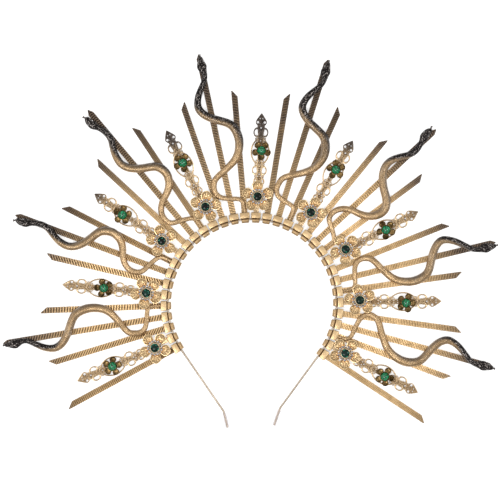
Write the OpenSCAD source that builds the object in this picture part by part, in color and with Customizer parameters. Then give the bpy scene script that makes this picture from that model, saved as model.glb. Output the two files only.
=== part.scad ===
// Halo crown. Flat strips, swept snakes and jewelled flower sprays stand out like rays from
// a row of end caps, which are threaded on a wire headband. The crown lies on the backs of
// its caps with its front up: X runs across it, Y towards its top and Z out of its front.
// Sizes are in millimetres.

/* [Headband] */
// Radius of the head opening's wire, to its centre line
band_r = 63.4; // [63:0.1:63.8]
// Diameter of the headband wire
wire_d = 1.5; // [1.2:0.1:1.6]
// Outer diameter of the clear sleeves on the wire's two ends
sleeve_d = 3; // [2.6:0.1:3.6]

/* [Caps] */
// Direction of the first cap, counted from +X
first_cap_angle = 210.3; // [209.8:0.1:210.8]
// Direction of the last cap
last_cap_angle = -35.3; // [-35.8:0.1:-34.8]
// Width of a cap's box, along the wire
cap_w = 7.2; // [6.8:0.1:7.4]
// Length of a cap's box, outward
cap_len = 4.8; // [4.6:0.1:5.2]
// Depth of a cap, from its back to its front
cap_h = 5; // [5:0.1:5.4]
// Bevel round the cap's box
cap_bevel = 0.7; // [0.3:0.1:0.9]
// Width of the narrower loop that the wire runs through
loop_w = 5.5; // [5:0.1:6]
// Diameter of the loop's barrel
loop_d = 3.9; // [3.8:0.1:4.2]

/* [Strips] */
// Width of a ray strip
strip_w = 4.3; // [4:0.1:4.4]
// Thickness of a ray strip
strip_t = 1; // [0.8:0.1:1]
// Reach of the middle strip of each three, from the centre of the head opening
long_tip_r = 190.5; // [186:0.5:191]
// Reach of the strips on either side of it
short_tip_r = 159.5; // [150:0.5:160]
// Length of the slanting cut on a side strip's end
short_cut = 5; // [4:0.5:8]
// Length of the point on a middle strip's end
long_cut = 4; // [2:0.5:6]

/* [Flowers] */
// Radius of one petal of a large flower
petal_r = 3.65; // [3.3:0.05:3.7]
// Distance of a petal's centre from the flower's centre
petal_reach = 8; // [7.8:0.1:8.2]
// Backward or forward tilt of the petals
petal_tilt = 6; // [0:1:8]
// Diameter of the faceted stone in the flower's centre
stone_d = 5.9; // [5.5:0.1:6]
// Distance of the small crystals from the flower's centre
crystal_reach = 5.25; // [5.1:0.05:5.3]
// Diameter of a small crystal
crystal_d = 1.44; // [1.2:0.02:1.44]

/* [Filigree] */
// Thickness of the pierced band
filigree_t = 1.2; // [1:0.1:1.4]
// Width of the wire that bounds its loops
filigree_wire = 0.8; // [0.7:0.05:1]
// Diameter of the round cabochon
cabochon_d = 6.5; // [6:0.1:6.6]
// Radius of one petal of the small cup flower
cup_petal_r = 2.3; // [2:0.1:2.4]
// Distance of a cup petal's centre from the cup flower's centre
cup_petal_reach = 5; // [4.8:0.1:5.2]

/* [Hidden] */
$fn = 48;
fit = 0.15;

// The crown is placed so that its box is centred on the origin.
centre_x = 1.22;
centre_y = -46.61;

// Caps
cap_count = 35;
cap_step = (first_cap_angle - last_cap_angle) / (cap_count - 1);
cap_in = band_r + 0.4;
cap_out = cap_in + cap_len;
cap_wall = 0.6;
socket_w = strip_w + 0.4;
socket_depth = 2.6;
bore_d = wire_d + 0.6;
wire_z = cap_h / 2;
sleeve_gap = 0.1;
loop_r = cap_in - 1.1;
loop_chamfer = 0.5;

// Strips lie low in the caps, and the snakes lie on the strips.
strip_z = 1.2;
strip_front = strip_z + strip_t;
snake_z = strip_front + fit;
strip_in = cap_out - socket_depth + 0.4;

// Legs: direction where the wire's arc ends, side, small turn of the leg out of the arc,
// length of the leg, turn of the bend, and length of the end after it
leg_left = [213.5, 1, 1, 54.8, -21, 11.6];
leg_right = [-40.5, -1, 4.3, 45.3, 17, 12.8];
bend_len = 1.6;
joint_swell = 0.15;

// Rays: cap, turn about the foot, side of the point, where 0 is the middle strip of a
// three, and how much further than its kind it reaches
RAYS = [
    [0, -1.8, -1, -0.6],
    [2, 1.1, 1, -0.6], [3, 0.7, 0, -0.7], [4, 0.8, -1, -0.3],
    [6, -0.1, 1, -0.7], [7, -0.4, 0, -0.2], [8, 0.4, -1, 0.7],
    [10, -0.9, 1, -0.2], [11, -0.8, 0, 0.6], [12, 0, -1, 0.4],
    [14, 0.1, 1, 0.4], [15, 0.3, 0, 1.4], [16, 0.2, -1, 1.5],
    [18, 0.3, 1, 0.8], [19, -0.5, 0, 1.7], [20, 0, -1, 1.8],
    [22, -0.7, 1, 0], [23, -1.1, 0, 0.2], [24, -0.4, -1, 1.1],
    [26, -0.6, 1, -0.1], [27, -1.7, 0, -1.6], [28, -0.2, -1, -0.2],
    [30, -1.4, 1, -0.9], [31, -1.7, 0, -2.8], [32, 0.2, -1, -0.5],
    [34, 2, 1, -2.1]
];

// Upright snake: place across and outward of its middle line, width, height
UPRIGHT = [
    [8.7, 67, 1.7, 1.4], [9.2, 74, 1.7, 1.4], [8, 77.6, 1.8, 1.5], [5, 79, 2.1, 1.6],
    [-0.5, 80.1, 2.3, 1.8], [-5.6, 82, 2.5, 2], [-8.2, 84.9, 2.6, 2], [-8.8, 88.7, 2.8, 2.2],
    [-7.8, 93.9, 3.3, 2.5], [-4.7, 97.1, 3.8, 2.9], [0.3, 100, 4.3, 3.3], [5.4, 103.3, 4.8, 3.6],
    [9.9, 107, 5.2, 3.8], [13.2, 112, 5.6, 4], [14.9, 119, 6, 4.2], [14.6, 125.5, 6.2, 4.2],
    [12.4, 131.3, 6, 4.2], [9.1, 134.7, 5.8, 4.1], [4, 137.6, 5.7, 4], [-2.5, 141, 5.6, 4],
    [-7.5, 145, 5.5, 3.9], [-10.2, 149.5, 5.4, 3.8], [-10.5, 154, 4.9, 3.6], [-8.9, 159.4, 4.5, 3.4],
    [-5.6, 165.2, 4, 3.1], [-2.6, 170.2, 3.6, 2.9], [-1.9, 173.6, 3.6, 2.9], [-2.2, 176.4, 4.5, 3],
    [-2.8, 179.2, 6, 3.3], [-3, 182, 5.9, 3.2], [-2.9, 185, 4.4, 2.8], [-2.9, 187.2, 2.8, 2],
    [-2.9, 188.2, 1.4, 1.2], [-2.9, 188.6, 0.8, 0.6], [-2.9, 189.8, 2.2, 0.6]
];

// Curling snake, whose neck bends the other way: the same columns
CURLING = [
    [8.7, 67, 1.7, 1.4], [9.3, 74.5, 1.7, 1.4], [7.8, 78, 1.9, 1.5], [4, 80.7, 2.2, 1.7],
    [-0.5, 83, 2.3, 1.8], [-4.3, 84.8, 2.5, 2], [-6.8, 87.2, 2.6, 2], [-8, 91, 2.8, 2.2],
    [-7.7, 95.4, 3.2, 2.5], [-5.4, 99.5, 3.8, 2.9], [-1.3, 102.7, 4.3, 3.3], [4, 104.9, 4.8, 3.6],
    [8.5, 107.5, 5.2, 3.8], [11.8, 111, 5.6, 4], [13.8, 116, 5.9, 4.2], [13.5, 121, 6.1, 4.2],
    [11.6, 125.2, 6, 4.2], [7.9, 128.3, 5.8, 4.1], [3, 131.3, 5.7, 4], [-1.6, 134.9, 5.6, 4],
    [-5.3, 139.2, 5.5, 3.9], [-7.2, 144, 5.3, 3.8], [-7, 149, 5.2, 3.8], [-5.3, 154, 4.8, 3.6],
    [-2.7, 158.8, 4.5, 3.4], [-0.2, 163, 4.4, 3.3], [1, 167.6, 4.5, 3.4], [0.7, 172, 4.2, 3.2],
    [-0.5, 176.2, 4, 3], [-1.8, 180.2, 5.3, 3.3], [-2.3, 184, 5.5, 3.2], [-2.3, 186.8, 3.8, 2.5],
    [-2.5, 188.1, 1.8, 1.4], [-3.2, 188.9, 0.8, 0.6], [-3.6, 190.3, 2, 0.6]
];

// Snakes: cap of the middle strip, form, sideways shift of the low, middle and high bends
// and of the head, and slide outward
SNAKES = [
    [3, UPRIGHT, 0, 0, 0, 0, 0], [7, CURLING, 0, 0, 0, 0, 0],
    [11, CURLING, -0.2, 1.5, 1.5, -0.9, -0.8], [15, UPRIGHT, -1.3, 0.8, 1.4, 2.9, 1.5],
    [19, UPRIGHT, 1.4, 4.3, 3.4, 5, 2], [23, CURLING, 0.8, 5.1, 2.4, 1.9, -0.4],
    [27, UPRIGHT, -2.1, 0.4, 1.9, 8.9, 0], [31, UPRIGHT, -4.3, 0, 2.3, 7.4, -0.9]
];
tail_out = 75;
BENDS = [88, 120, 150, 181];
snake_sides = 8;
snake_steps = 2;
belly = 0.35;

// Sprays: cap, flower's place across and outward and its turn, cabochon's place across
// and outward and the cup flower's turn, filigree's place across under the flower and at
// its tip, and its slide outward
SPRAYS = [
    [1, -1.8, 80, 18, -2.1, 114.8, 45, -2.2, -2, -1.7],
    [5, 0, 79.8, 31, 0.4, 111.9, 20, 0.6, -0.2, -2],
    [9, 0.2, 82.5, 46, -0.6, 117.9, 25, 0.2, 0.4, -0.9],
    [13, 1, 80.7, 58, 0.3, 117.9, 41, 0.6, 0.1, 0],
    [17, 0.6, 80.5, 21, 2, 115.1, 55, 1, 1, -2],
    [21, 1.8, 81.4, 24, 1.3, 118.6, 52, 1.2, 0.8, -1.3],
    [25, -0.7, 81.1, 41, 1.7, 114.7, 40, 0.1, 1.7, -2.6],
    [29, -1.6, 80.8, 45, 1.1, 115.6, 15, -0.2, 0.2, -3],
    [33, -0.1, 79.1, 24, 1.4, 113.5, 33, 0.7, 0.4, -3.9]
];
jog_out = 80;

// Flower: heights of its layers
petal_z = 4.2;
collar_z = 4.4;
collar_top = 5.6;
bezel_top = 6.8;
post_r = 3.3;
collar_r = crystal_reach + 1.05;
bezel_out = stone_d / 2 + 0.95;
crystal_count = 14;
petal_ribs = 2;
stone_seat_z = 4.6;
stone_table_z = 7.6;
girdle_z = 6.5;

// Filigree: place outward and half width of the solid spine
SPINE = [
    [88.2, 2.0], [91.5, 1.7], [96.8, 2.1], [99.8, 1.7], [102.0, 1.6], [105.4, 2.1],
    [109.5, 1.6], [115.5, 1.5], [121.5, 1.7], [126.5, 2.4], [129.0, 1.8], [134.7, 2.5],
    [137.3, 2.0]
];

// Side loops: place across and outward of their centre, and outer radius
LOOPS = [[2.3, 94.0, 1.9], [3.1, 102.2, 2.5], [3.0, 130.7, 2.6]];

// Pierced holes along the spine: place outward, and radius
PIERCINGS = [[99.4, 0.5], [124.2, 0.6], [134.2, 0.6]];
oval_out = 116.3;
oval_half_w = 7.1;
oval_half_l = 10.4;
bud_out = 136.2;
bud_tip = 144.7;
bud_half_w = 4.2;
bud_hole_r = 0.9;
base_strip_w = 4.1;
cup_z = strip_z + filigree_t - 0.3;
cup_ring_top = cup_z + 2.2;
cabochon_z = cup_z + 0.9;

// Colours
satin_gold = [0.85, 0.70, 0.46];
antique_brass = [0.69, 0.54, 0.35];
gunmetal = [0.42, 0.35, 0.28];
filigree_gold = [0.76, 0.62, 0.43];
rose_wire = [0.84, 0.74, 0.66];
clear_white = [0.92, 0.91, 0.92, 0.7];
dark_emerald = [0.05, 0.20, 0.15];
malachite = [0.08, 0.48, 0.31];
ice_crystal = [0.75, 0.79, 0.85];

// Points of a rectangle whose corners are cut off
function bevelled(w, l, b) = [
    [-w / 2 + b, 0], [w / 2 - b, 0], [w / 2, b], [w / 2, l - b],
    [w / 2 - b, l], [-w / 2 + b, l], [-w / 2, l - b], [-w / 2, b]
];

// One point of a smooth curve between b and c, with a and d as their neighbours
function curve_point(a, b, c, d, t) =
    0.5 * (2 * b + (c - a) * t + (2 * a - 5 * b + 4 * c - d) * t * t
    + (3 * b - a - 3 * c + d) * t * t * t);

// A smooth curve through the rows of a table, column by column
function smooth_rows(rows, steps) = [
    for (i = [0 : len(rows) - 2], k = [0 : steps - 1])
        curve_point(rows[max(i - 1, 0)], rows[i], rows[i + 1],
                    rows[min(i + 2, len(rows) - 1)], k / steps),
    rows[len(rows) - 1]
];

// The rows of a snake's form, shifted at its bends and slid outward as its own row says
function bent_rows(row) = let (
        shifts = concat([[tail_out, 0]], [for (i = [0 : 3]) [BENDS[i], row[i + 2]]]),
        slides = [[tail_out, 0], [BENDS[0], row[6]]]
    ) [
        for (p = row[1])
            [p[0] + lookup(p[1], shifts), p[1] + lookup(p[1], slides), p[2], p[3]]
    ];

// One cross-section of a snake, square to its middle line
function snake_ring(row, along) = let (
        n = [-along[1], along[0]] / norm(along)
    ) [
        for (j = [0 : snake_sides - 1]) let (
            a = 360 * j / snake_sides,
            side = row[2] / 2 * cos(a),
            up = sin(a) > 0 ? belly + (1 - belly) * sin(a) : belly * (1 + sin(a))
        ) [row[0] + n[0] * side, row[1] + n[1] * side, snake_z + row[3] * up]
    ];

// A level ring of points round the Z axis
function level_ring(n, r, z) = [
    for (j = [0 : n - 1]) [r * cos(360 * j / n), r * sin(360 * j / n), z]
];

// Triangles of a stack of rings, closed at both ends
function stack_faces(n, m) = concat(
    [[for (j = [0 : n - 1]) j]],
    [for (i = [0 : m - 2], j = [0 : n - 1]) let (k = (j + 1) % n)
        [i * n + j, (i + 1) * n + j, (i + 1) * n + k, i * n + k]],
    [[for (j = [n - 1 : -1 : 0]) (m - 1) * n + j]]
);

// A solid through a stack of rings
module stacked(rings) {
    n = len(rings[0]);
    polyhedron([for (ring = rings) each ring], stack_faces(n, len(rings)), convexity = 6);
}

// Puts a piece on a cap: X runs across the cap, Y outward from the head opening
module at_cap(i) {
    rotate([0, 0, first_cap_angle - i * cap_step - 90]) children();
}

// A round bend that starts at the origin and leaves along +Y
module bend(turn, d) {
    r = bend_len * 180 / PI / abs(turn);
    side = turn > 0 ? -1 : 1;
    translate([side * r, 0, 0]) rotate([0, 0, turn > 0 ? 0 : 180 - abs(turn)])
        rotate_extrude(angle = abs(turn)) translate([r, 0]) circle(d = d);
}

// Moves a piece to the end of such a bend
module after_bend(turn) {
    r = bend_len * 180 / PI / turn;
    translate([-r, 0, 0]) rotate([0, 0, turn]) translate([r, 0, 0]) children();
}

module rod(len, d) {
    rotate([-90, 0, 0]) cylinder(d = d, h = len);
}

// Puts a piece where the wire's arc ends and a leg begins
module at_leg(leg) {
    rotate([0, 0, leg[0]]) translate([band_r, 0, wire_z])
        rotate([0, 0, (leg[1] > 0 ? 0 : 180) + leg[2]]) children();
}

// A leg: a long straight part, a bend and a straight end, with a ball where they meet
module leg_wire(leg) {
    sphere(d = wire_d + joint_swell);
    rod(leg[3], wire_d);
    translate([0, leg[3], 0]) {
        sphere(d = wire_d + joint_swell);
        bend(leg[4], wire_d);
        after_bend(leg[4]) {
            sphere(d = wire_d + joint_swell);
            rod(leg[5], wire_d);
        }
    }
}

module headband() {
    color(rose_wire) {
        translate([0, 0, wire_z]) rotate([0, 0, leg_right[0]])
            rotate_extrude(angle = leg_left[0] - leg_right[0])
                translate([band_r, 0]) circle(d = wire_d);
        at_leg(leg_left) leg_wire(leg_left);
        at_leg(leg_right) leg_wire(leg_right);
    }
}

// A clear sleeve with a round closed end, slipped over the wire's end after the bend
module headband_tip(leg) {
    start = (wire_d + joint_swell) / 2 + 0.1;
    len = leg[5] - start;
    color(clear_white) at_leg(leg) translate([0, leg[3], 0]) after_bend(leg[4])
        translate([0, start, 0]) rotate([-90, 0, 0]) rotate_extrude() difference() {
            union() {
                square([sleeve_d / 2, len]);
                translate([0, len]) intersection() {
                    circle(d = sleeve_d);
                    square(sleeve_d);
                }
            }
            square([wire_d / 2 + sleeve_gap, len + sleeve_gap]);
        }
}

// The loop of a cap: a barrel with chamfered ends, lying along the wire
module cap_loop() {
    rotate([0, 90, 0]) rotate_extrude() polygon([
        [0, -loop_w / 2], [loop_d / 2 - loop_chamfer, -loop_w / 2],
        [loop_d / 2, -loop_w / 2 + loop_chamfer], [loop_d / 2, loop_w / 2 - loop_chamfer],
        [loop_d / 2 - loop_chamfer, loop_w / 2], [0, loop_w / 2]
    ]);
}

module cap() {
    difference() {
        union() {
            translate([0, cap_in, 0]) intersection() {
                linear_extrude(cap_h) polygon(bevelled(cap_w, cap_len, cap_bevel));
                translate([0, cap_len + 1, 0]) rotate([90, 0, 0])
                    linear_extrude(cap_len + 2) polygon(bevelled(cap_w, cap_h, cap_bevel));
            }
            translate([0, loop_r, wire_z]) cap_loop();
        }
        translate([0, band_r, wire_z]) rotate([0, 90, 0])
            cylinder(d = bore_d, h = cap_w + 2, center = true);
        translate([-socket_w / 2, cap_out - socket_depth, cap_wall])
            cube([socket_w, socket_depth + 1, cap_h - 2 * cap_wall]);
    }
}

module cap_row() {
    color(satin_gold) for (i = [0 : cap_count - 1]) at_cap(i) cap();
}

// A flat strip from its cap's socket to its cut end, with the cut's high side given
module strip(w, tip, cut, side) {
    foot = strip_in;
    end = side == 0
        ? [[w / 2, tip - cut], [0, tip], [-w / 2, tip - cut]]
        : side > 0
            ? [[w / 2, tip - 0.8], [w / 2 - 0.5, tip], [-w / 2, tip - cut]]
            : [[w / 2, tip - cut], [-w / 2 + 0.5, tip], [-w / 2, tip - 0.8]];
    translate([0, 0, strip_z]) linear_extrude(strip_t)
        polygon(concat([[-w / 2, foot], [w / 2, foot]], end));
}

module ray(row) {
    middle = row[2] == 0;
    tip = (middle ? long_tip_r : short_tip_r) + row[3];
    color(antique_brass) at_cap(row[0])
        translate([0, strip_in, 0]) rotate([0, 0, row[1]]) translate([0, -strip_in, 0])
            strip(strip_w, tip, middle ? long_cut : short_cut, row[2]);
}

module snake(row) {
    places = smooth_rows(bent_rows(row), snake_steps);
    last = len(places) - 1;
    rings = [
        for (i = [0 : last]) let (
            a = places[max(i - 1, 0)],
            b = places[min(i + 1, last)]
        ) snake_ring(places[i], [b[0] - a[0], b[1] - a[1]])
    ];
    color(gunmetal) at_cap(row[0]) stacked(rings);
}

// A shallow bowl that opens to the front
module bowl(r, h, wall) {
    rotate_extrude() polygon([
        [0, 0], [r * 0.6, h * 0.12], [r * 0.92, h * 0.5], [r, h],
        [r - wall * 0.5, h + wall * 0.3], [r - wall, h * 0.85],
        [r * 0.5, h * 0.12 + wall], [0, wall]
    ]);
}

// Ribs that fan out from a petal's foot over its hollow
module rib_fan(r, from_z, to_z) {
    reach = r * 0.82;
    translate([0, 0, from_z]) linear_extrude(to_z - from_z) translate([0, -reach])
        for (j = [-petal_ribs : petal_ribs]) rotate(22 * j)
            polygon([[-0.15, 0.1], [0.15, 0.1], [0.3, 2 * reach * cos(22 * j) - 0.1],
                     [-0.3, 2 * reach * cos(22 * j) - 0.1]]);
}

module petal() {
    bowl(petal_r, 1.4, 0.8);
    rib_fan(petal_r, 0.5, 1.15);
}

// The flower's setting: a post, a collar and the bezel
module setting() {
    translate([0, 0, snake_z]) cylinder(r = post_r, h = collar_top - snake_z - 0.2);
    translate([0, 0, collar_z]) cylinder(r = collar_r, h = collar_top - collar_z);
    translate([0, 0, collar_z]) cylinder(r = bezel_out, h = bezel_top - collar_z);
}

// The stone's seat and the sockets of the crystals round it
module sockets() {
    translate([0, 0, stone_seat_z - fit]) cylinder(d = stone_d + 2 * fit, h = 4);
    for (j = [0 : crystal_count - 1]) rotate([0, 0, 360 * j / crystal_count])
        translate([crystal_reach, 0, collar_top - 0.7])
            cylinder(d = crystal_d + 0.24, h = 2);
}

// Puts a piece on the centre of a spray's large flower
module at_flower(row) {
    at_cap(row[0]) translate([row[1], row[2], 0]) children();
}

module flower(row) {
    color(satin_gold) at_flower(row) difference() {
        union() {
            setting();
            for (j = [0 : 4]) rotate([0, 0, row[3] - 90 + 72 * j])
                translate([0, petal_reach, petal_z]) rotate([petal_tilt, 0, 0]) petal();
        }
        sockets();
    }
}

module centre_stones() {
    sides = 12;
    color(dark_emerald) for (row = SPRAYS) at_flower(row) stacked([
        level_ring(sides, 0.5, stone_seat_z),
        level_ring(sides, stone_d / 2, girdle_z),
        level_ring(sides, stone_d / 2, girdle_z + 0.2),
        level_ring(sides, stone_d * 0.31, stone_table_z)
    ]);
}

module crystal_rings() {
    color(ice_crystal) for (row = SPRAYS) at_flower(row)
        for (j = [0 : crystal_count - 1]) rotate([0, 0, 360 * j / crystal_count])
            translate([crystal_reach, 0, 0]) stacked([
                level_ring(8, crystal_d / 2, collar_top - 0.55),
                level_ring(8, crystal_d * 0.3, collar_top + 0.3)
            ]);
}

// A lens between two circle arcs, with its points at the top and bottom
module lens(half_w, half_l) {
    off = (half_l * half_l - half_w * half_w) / (2 * half_w);
    r = half_w + off;
    intersection() {
        translate([off, 0]) circle(r);
        translate([-off, 0]) circle(r);
    }
}

module loop(r) {
    difference() {
        circle(r);
        circle(r - filigree_wire);
    }
}

// The pointed bud at the filigree's end
module bud() {
    polygon([
        [-2.0, bud_out - 0.5], [2.0, bud_out - 0.5], [bud_half_w, bud_out + 1.6],
        [bud_half_w - 0.5, bud_out + 3.6], [bud_half_w - 2, bud_out + 6],
        [0, bud_tip], [2 - bud_half_w, bud_out + 6], [0.5 - bud_half_w, bud_out + 3.6],
        [-bud_half_w, bud_out + 1.6]
    ]);
}

module filigree_outline() {
    difference() {
        union() {
            polygon(concat(
                [for (s = SPINE) [s[1], s[0]]],
                [for (i = [len(SPINE) - 1 : -1 : 0]) [-SPINE[i][1], SPINE[i][0]]]
            ));
            for (side = [-1, 1], l = LOOPS) translate([side * l[0], l[1]]) loop(l[2]);
            translate([0, oval_out]) difference() {
                lens(oval_half_w, oval_half_l + 1.2);
                lens(oval_half_w - filigree_wire, oval_half_l);
            }
            difference() {
                bud();
                for (side = [-1, 1]) translate([side * 2.6, bud_out + 2.1])
                    circle(bud_hole_r);
            }
        }
        for (p = PIERCINGS) translate([0, p[0]]) circle(p[1]);
    }
}

// The cup flower and its ring setting for the cabochon
module cup_flower(turn) {
    seat_r = cabochon_d / 2 + fit;
    translate([0, 0, cup_z]) difference() {
        union() {
            cylinder(r = seat_r + 0.5, h = cup_ring_top - cup_z);
            for (j = [0 : 4]) rotate([0, 0, turn - 90 + 72 * j])
                translate([0, cup_petal_reach, 0]) bowl(cup_petal_r, 1.7, 0.6);
        }
        translate([0, 0, 0.75]) cylinder(r = seat_r, h = 4);
    }
}

// The pierced band, on a line of its own from under the large flower
module pierced_band(row) {
    turn = asin((row[7] - row[8]) / (bud_tip + row[9] - jog_out));
    translate([row[7], jog_out, strip_z]) rotate([0, 0, turn]) translate([0, -jog_out, 0]) {
        translate([-base_strip_w / 2, jog_out - 2, 0])
            cube([base_strip_w, 91 + row[9] - jog_out, strip_t]);
        translate([0, row[9], 0]) linear_extrude(filigree_t) filigree_outline();
    }
}

module filigree(row) {
    color(filigree_gold) at_cap(row[0]) {
        translate([-base_strip_w / 2, strip_in, strip_z])
            cube([base_strip_w, jog_out + 2 - strip_in, strip_t]);
        pierced_band(row);
        translate([row[4], row[5], 0]) cup_flower(row[6]);
    }
}

module cabochons() {
    color(malachite) for (row = SPRAYS) at_cap(row[0])
        translate([row[4], row[5], cabochon_z]) intersection() {
            translate([0, 0, 0.6]) sphere(d = cabochon_d);
            cylinder(d = cabochon_d + 1, h = cabochon_d);
        }
}

translate([centre_x, centre_y, 0]) {
    headband();
    headband_tip(leg_left);  // headband_tip_left
    headband_tip(leg_right);  // headband_tip_right
    cap_row();
    for (i = [1 : len(RAYS)])
        ray(RAYS[i - 1]);
    for (i = [1 : len(SNAKES)])
        snake(SNAKES[i - 1]);
    for (i = [1 : len(SPRAYS)]) {
        flower(SPRAYS[i - 1]);
        filigree(SPRAYS[i - 1]);
    }
    centre_stones();
    crystal_rings();
    cabochons();
}
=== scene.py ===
"""Halo crown: the looks of its wire, caps, ribbed rays, snakes, flower sprays and stones.

Shapes are built in millimetres in the frame of the cap that carries them, where X runs
across the cap, Y outward from the head opening and Z out of the crown's front.
"""

import logging
import math
from collections.abc import Callable, Iterable, Sequence
from dataclasses import dataclass
from enum import Enum
from functools import cache

import bmesh
import bpy
from bmesh.types import BMesh, BMEdge, BMFace, BMLayerItem, BMVert
from bpy.types import Material, Mesh, Node, NodeSocket, NodeTree, Object
from mathutils import Matrix, Vector


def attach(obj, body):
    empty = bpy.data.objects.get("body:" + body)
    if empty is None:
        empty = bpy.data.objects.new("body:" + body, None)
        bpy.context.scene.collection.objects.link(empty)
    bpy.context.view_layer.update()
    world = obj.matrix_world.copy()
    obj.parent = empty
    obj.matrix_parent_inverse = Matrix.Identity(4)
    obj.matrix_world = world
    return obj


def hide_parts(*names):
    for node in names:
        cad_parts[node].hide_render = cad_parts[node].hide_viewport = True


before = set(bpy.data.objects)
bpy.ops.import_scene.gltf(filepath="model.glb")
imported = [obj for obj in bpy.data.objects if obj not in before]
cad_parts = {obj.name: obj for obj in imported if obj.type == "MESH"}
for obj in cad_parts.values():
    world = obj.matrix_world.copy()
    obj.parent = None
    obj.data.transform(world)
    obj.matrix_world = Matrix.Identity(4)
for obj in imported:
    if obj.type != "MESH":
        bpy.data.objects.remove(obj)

LOG = logging.getLogger("halo_crown")
MM = 0.001

# Millimetres below which two points are one
WELD = 1e-4

# Names of the UV map and of each facet's painted sparkle shade on every mesh
UV = "lay"
FACET = "facet"

Point2 = tuple[float, float]
Colour = tuple[float, float, float]
Row = tuple[float, ...]
Cut = tuple[Point2, Point2]


class Slot(Enum):
    """Material slots of the record."""

    CAP = "cap_gold"
    STRIP = "antique_strip"
    SNAKE = "snake_gunmetal"
    FLOWER = "flower_gold"
    FILIGREE = "filigree_gold"
    EMERALD = "dark_emerald"
    CRYSTAL = "ice_crystal"
    MALACHITE = "malachite"


class Mark(Enum):
    """Values that the points of a shape carry to its material."""

    # Groove: darkening that holds dirt in grooves and painted shade on flanks, in sockets and
    # between parts; in the strips it also sets how deep the ribs are sunk.
    GROOVE = "groove"
    PATINA = "patina"
    # Raised: raised parts, whose patina turns lighter, partly rubbed wear and partly painted
    # highlight.
    RAISED = "raised"
    # Lit: painted highlight, which lifts the colour towards the bright colour.
    LIT = "lit"

    def on(self, shape: BMesh) -> BMLayerItem:
        """The layer of a shape's points that holds the value."""
        return shape.verts.layers.float[self.value]


class Weave(Enum):
    """Patterns rolled into the flat strips: pitch, depth, columns, and how strong the darkening in
    the grooves and the painted highlight on the rib tops are.
    """

    RIBBED = (2.05, 0.26, 2, 1.0)
    SOFT = (2.05, 0.14, 2, 0.58)
    CHEVRON = (1.75, 0.16, 4, 0.7)
    FINE = (1.25, 0.12, 2, 0.5)

    def __init__(self, pitch: float, depth: float, columns: int, shading_and_dirt: float) -> None:
        """Names the numbers of a pattern."""
        self.pitch, self.depth, self.columns, self.shading_and_dirt = pitch, depth, columns, shading_and_dirt


class Form(Enum):
    """The forms of the snakes: place across and outward, width and height along each."""

    UPRIGHT = (
        (8.7, 67, 1.7, 1.4), (9.2, 74, 1.7, 1.4), (8, 77.6, 1.8, 1.5), (5, 79, 2.1, 1.6),
        (-0.5, 80.1, 2.3, 1.8), (-5.6, 82, 2.5, 2), (-8.2, 84.9, 2.6, 2), (-8.8, 88.7, 2.8, 2.2),
        (-7.8, 93.9, 3.3, 2.5), (-4.7, 97.1, 3.8, 2.9), (0.3, 100, 4.3, 3.3),
        (5.4, 103.3, 4.8, 3.6), (9.9, 107, 5.2, 3.8), (13.2, 112, 5.6, 4), (14.9, 119, 6, 4.2),
        (14.6, 125.5, 6.2, 4.2), (12.4, 131.3, 6, 4.2), (9.1, 134.7, 5.8, 4.1),
        (4, 137.6, 5.7, 4), (-2.5, 141, 5.6, 4), (-7.5, 145, 5.5, 3.9), (-10.2, 149.5, 5.4, 3.8),
        (-10.5, 154, 4.9, 3.6), (-8.9, 159.4, 4.5, 3.4), (-5.6, 165.2, 4, 3.1),
        (-2.6, 170.2, 3.6, 2.9), (-1.9, 173.6, 3.6, 2.9), (-2.2, 176.4, 4.5, 3),
        (-2.8, 179.2, 6, 3.3), (-3, 182, 5.9, 3.2), (-2.9, 185, 4.4, 2.8), (-2.9, 187.2, 2.8, 2),
        (-2.9, 188.2, 1.4, 1.2), (-2.9, 188.6, 0.8, 0.6), (-2.9, 189.8, 2.2, 0.6),
    )
    CURLING = (
        (8.7, 67, 1.7, 1.4), (9.3, 74.5, 1.7, 1.4), (7.8, 78, 1.9, 1.5), (4, 80.7, 2.2, 1.7),
        (-0.5, 83, 2.3, 1.8), (-4.3, 84.8, 2.5, 2), (-6.8, 87.2, 2.6, 2), (-8, 91, 2.8, 2.2),
        (-7.7, 95.4, 3.2, 2.5), (-5.4, 99.5, 3.8, 2.9), (-1.3, 102.7, 4.3, 3.3),
        (4, 104.9, 4.8, 3.6), (8.5, 107.5, 5.2, 3.8), (11.8, 111, 5.6, 4), (13.8, 116, 5.9, 4.2),
        (13.5, 121, 6.1, 4.2), (11.6, 125.2, 6, 4.2), (7.9, 128.3, 5.8, 4.1),
        (3, 131.3, 5.7, 4), (-1.6, 134.9, 5.6, 4), (-5.3, 139.2, 5.5, 3.9), (-7.2, 144, 5.3, 3.8),
        (-7, 149, 5.2, 3.8), (-5.3, 154, 4.8, 3.6), (-2.7, 158.8, 4.5, 3.4),
        (-0.2, 163, 4.4, 3.3), (1, 167.6, 4.5, 3.4), (0.7, 172, 4.2, 3.2), (-0.5, 176.2, 4, 3),
        (-1.8, 180.2, 5.3, 3.3), (-2.3, 184, 5.5, 3.2), (-2.3, 186.8, 3.8, 2.5),
        (-2.5, 188.1, 1.8, 1.4), (-3.2, 188.9, 0.8, 0.6), (-3.6, 190.3, 2, 0.6),
    )


def ease(low: float, high: float, value: float) -> float:
    """A smooth step from 0 at low to 1 at high."""
    t = max(0.0, min(1.0, (value - low) / (high - low)))
    return t * t * (3 - 2 * t)


def swell(middle: float, width: float, value: float) -> float:
    """A smooth hump that is 1 at its middle and fades over a width."""
    return math.exp(-((value - middle) / width) ** 2)


def between(value: float, knots: Sequence[Point2]) -> float:
    """Straight-line value between knots, held at both ends.

    Args:
        value: Where to look.
        knots: Pairs of place and value, in order of place.

    Returns:
        The value there.
    """
    if value <= knots[0][0]:
        return knots[0][1]
    for (x0, y0), (x1, y1) in zip(knots, knots[1:]):
        if value <= x1:
            return y0 + (y1 - y0) * (value - x0) / (x1 - x0)
    return knots[-1][1]


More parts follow.
